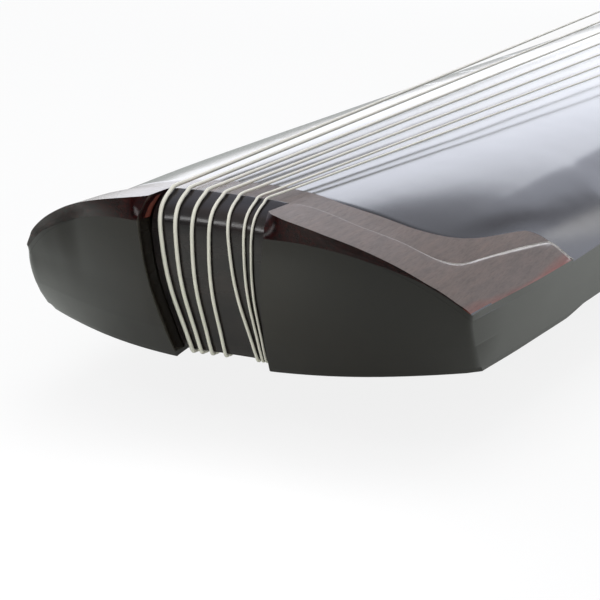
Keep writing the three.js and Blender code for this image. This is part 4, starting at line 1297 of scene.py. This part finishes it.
def make_string(i):
    path = string_path(i)
    knot = KNOT + [(KNOT_END, STRING_RADII[i])]
    points = [path[0] + Vector((reach, 0, 0)) * MM for reach, _ in knot] + path
    radii = [radius * MM for _, radius in knot] + [STRING_RADII[i] * MM] * len(path)
    string = tube(f"string_{i + 1}_wound", points, radii, STRING_SIDES)
    dress(string, "string_winding", [STRING], f"string_{i + 1}")


def make_cord(i):
    """A cord from its knot over the dew collector and down into its peg."""
    y = BRIDGE_Y[i]
    end = STRING_LENGTH + BRIDGE_WIDTH + KNOT[0][0]
    height = bridge_top(y) + STRING_RADII[i] + FIT
    top = board_at(PEG_U, y) + FIT + DEW_THICKNESS
    points = [(end + KNOT_END, height), (end + CORD_LIFT, height)]
    points += [(mix(end, PEG_U, along), mix(height, top, down)) for along, down in CORD_SLOPE]
    points += [(PEG_U, h) for h in (top + CORD_LIFT, top - DEW_THICKNESS, PEG_TOP - CORD_DEPTH)]
    path = [place(u, y, h) for u, h in curve_through(points, 12)]
    radii = [CORD_RADIUS * MM] * len(path)
    cord = tube(f"tuning_cord_{i + 1}_twisted", path, radii, CORD_SIDES, CORD_PLIES, CORD_PITCH)
    dress(cord, "cord_silk", [SILK], f"tuning_cord_{i + 1}")


STUD_SHARES = [1 / 8, 1 / 6, 1 / 5, 1 / 4, 1 / 3, 2 / 5, 1 / 2, 3 / 5, 2 / 3, 3 / 4, 4 / 5, 5 / 6, 7 / 8]
STUD_OFFSET = 12
STUD_RADII = (4.8, 2.6)
STUD_RINGS = [(1, -0.6), (1, 0), (0.96, 0.06), (0.5, 0.06), (0.0001, 0.06)]
STUD_SIDES = 40


def make_stud(i):
    """An inlaid disc that follows the arch, a hair above the lacquer."""
    u = STRING_LENGTH * (1 - STUD_SHARES[i])
    y = mix(GUM_Y[0], BRIDGE_Y[0], u / STRING_LENGTH) + STUD_OFFSET
    radius = mix(*STUD_RADII, abs(i - 6) / 6)
    rings = []
    for share, rise in STUD_RINGS:
        reach = share * radius
        rim = [(u + reach * math.cos(a), y + reach * math.sin(a))
               for a in np.arange(STUD_SIDES) * 2 * math.pi / STUD_SIDES]
        rings.append([place(*at, board_at(*at) + rise) for at in rim])
    stud = loft(f"hui_{i + 1}_inlaid", rings)
    crease(stud)
    dress(stud, "shell", [SHELL], f"hui_{i + 1}")


def redress(node, material):
    """A better material for a CAD node whose shape stays."""
    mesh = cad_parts[node].data
    mesh.materials.clear()
    mesh.materials.append(material)


make_camera()
make_top_board()
make_bottom_board()
for name, side in (("far", 1), ("near", -1)):
    make_crown_corner("crown_corner_" + name, side)
    make_tail_support("tail_support_" + name, side)
    make_guard("peg_guard_" + name, side)
    make_foot("goose_foot_" + name, side)
make_tail_plate()
make_gum()
make_bridge()
make_dew_collector()
make_pool_plate()
for n in range(len(STRING_RADII)):
    make_peg(n + 1, BRIDGE_Y[n])
    make_string(n)
    make_cord(n)
for n in range(len(STUD_SHARES)):
    make_stud(n)
for node in ("sound_post_round", "sound_post_square", "foot_block_far", "foot_block_near"):
    redress(node, BARE)
redress("gum_support", HARDWOOD)


# Studio

# Directions by their share of height or depth: where the mirrored backdrop ends and the room begins
BACKDROP_TOP = (0.296, 0.345)
BACKDROP_DIM = 0.44
TAIL_ROOM = (0.25, 0.42)
TAIL_GAIN = 0.34
TAIL_DIM = 0.08
TURN_TO_HEAD = (-0.05, 0.3)
GAP_SLOPE = -0.69
GAP_OFFSET = 0.325
GAP_WIDTH = (0.010, 0.035)
GAP_TOP = (0.33, 0.36)
GAP_DEPTH = 0.88
COOL_RISE = (0.05, 0.2)
COOL = (0.91, 0.95, 1.1, 1)
FILL = (0.60, 0.61, 0.63, 1)


def mirrored_room(nodes, x, y, z):
    """Brightness of the room in a mirror and the share of it on the head's side."""
    def step(value, span):
        return nodes.scaled(value, 0, 1, *span, "SMOOTHSTEP")

    head = nodes.less(nodes.times(step(z, BACKDROP_TOP), BACKDROP_DIM))
    tail = nodes.math("MULTIPLY_ADD", step(z, TAIL_ROOM), TAIL_GAIN, TAIL_DIM)
    side = step(x, TURN_TO_HEAD)
    room = nodes.math("ADD", nodes.times(head, side), nodes.times(tail, nodes.less(side)))
    slant = nodes.math("MULTIPLY_ADD", z, GAP_SLOPE, nodes.math("ADD", y, GAP_OFFSET))
    gap = nodes.less(step(nodes.math("ABSOLUTE", slant), GAP_WIDTH))
    gap = nodes.times(gap, nodes.less(step(z, GAP_TOP)))
    room = nodes.times(room, nodes.less(nodes.times(nodes.times(gap, side), GAP_DEPTH)))
    return room, nodes.times(side, step(z, COOL_RISE))


def make_world():
    """White all round; mirrored, it is white up to the top of the backdrop and dim in the room above."""
    world = bpy.data.worlds.new("studio")
    bpy.context.scene.world = world
    nodes = Nodes(world)
    path = nodes.add("ShaderNodeLightPath").outputs
    direction = nodes.add("ShaderNodeTexCoord").outputs["Generated"]
    room, cool = mirrored_room(nodes, *nodes.add("ShaderNodeSeparateXYZ", {"Vector": direction}).outputs)
    glossy = path["Is Glossy Ray"]
    seen = nodes.math("ADD", path["Is Camera Ray"], path["Is Transmission Ray"], clamp=True)
    tint = nodes.mixed(nodes.times(cool, glossy), (1, 1, 1, 1), COOL)
    strength = nodes.math("ADD", seen, nodes.times(glossy, room))
    white = nodes.add("ShaderNodeBackground", {"Color": tint, "Strength": strength})
    fill = nodes.feed(nodes.tree.nodes["Background"], {"Color": FILL})
    direct = nodes.math("ADD", seen, glossy, clamp=True)
    blend = nodes.add("ShaderNodeMixShader", {0: direct, 1: fill.outputs[0], 2: white.outputs[0]})
    nodes.feed(nodes.tree.nodes["World Output"], {"Surface": blend.outputs[0]})


def soft_box(name, at, towards, size, radiance, color, mirrored):
    """A soft rectangular lamp whose face has the given radiance."""
    data = bpy.data.lights.new(name, "AREA")
    data.shape = "RECTANGLE"
    data.size, data.size_y = size
    data.energy = radiance * math.pi * size[0] * size[1]
    data.color = color
    lamp = bpy.data.objects.new(name, data)
    aim = (Vector(towards) - Vector(at)).to_track_quat("-Z", "Y")
    lamp.matrix_world = Matrix.Translation(at) @ aim.to_matrix().to_4x4()
    lamp.visible_camera = False
    lamp.visible_glossy = mirrored
    bpy.context.collection.objects.link(lamp)


FLOOR_REACH = 8
FLOOR_TONE = (0.52, 0.545, 0.50, 1)
FLOOR_WHITE = (0.97, 0.97, 0.97, 1)
SEEN_GLOW = 0.85
MIRRORED_GLOW = 0.1


def floor_material():
    """Pale to the object, nearly white to the camera, with room for a shadow."""
    nodes = new_nodes("floor")
    path = nodes.add("ShaderNodeLightPath").outputs
    seen = path["Is Camera Ray"]
    nodes.surface(Base_Color=nodes.mixed(seen, FLOOR_TONE, FLOOR_WHITE), Roughness=0.9)
    mirrored = nodes.math("ADD", path["Is Glossy Ray"], path["Is Transmission Ray"], clamp=True)
    share = nodes.math("MULTIPLY_ADD", seen, SEEN_GLOW, nodes.times(mirrored, MIRRORED_GLOW))
    shader = nodes.tree.nodes["Principled BSDF"].outputs[0]
    glow = nodes.add("ShaderNodeEmission").outputs[0]
    blend = nodes.add("ShaderNodeMixShader", {0: share, 1: shader, 2: glow})
    nodes.feed(nodes.tree.nodes["Material Output"], {"Surface": blend.outputs[0]})
    return nodes.owner


def make_floor():
    """A pale floor that the camera sees as white, with the object's shadow on it."""
    corners = [(x * FLOOR_REACH, y * FLOOR_REACH, 0) for x, y in ((-1, -1), (1, -1), (1, 1), (-1, 1))]
    piece = new_object("floor", corners, [(0, 1, 2, 3)])
    piece.data.materials.append(floor_material())


TAIL_AIM = (-0.45, -0.05, 0.08)
TOP_AIM = (-0.5, 0, 0)
LAMPS = [
    ("head_panel", (1.96, 0.82, 0.52), TAIL_AIM, (1.90, 0.80), 1.08, (0.91, 0.94, 1), True),
    ("side_strip", (2.04, -0.567, 0.50), TAIL_AIM, (0.11, 0.6), 0.75, (1, 0.97, 0.9), True),
    ("top_panel", (-0.7, 0.1, 1.7), TOP_AIM, (1.2, 1.2), 2.2, (1, 1, 1), False),
    ("ridge_lamp", (-0.715, 0.045, 0.13), (-0.715, 0.045, 0), (0.05, 0.09), 6, (1, 1, 1), True),
    ("pool_lamp", (-0.665, -0.03, 0.06), (-0.665, -0.03, 0), (0.05, 0.05), 4, (1, 1, 1), True),
]


def make_studio():
    bpy.context.scene.view_settings.view_transform = "Standard"
    make_world()
    make_floor()
    for lamp in LAMPS:
        soft_box(*lamp)


make_studio()
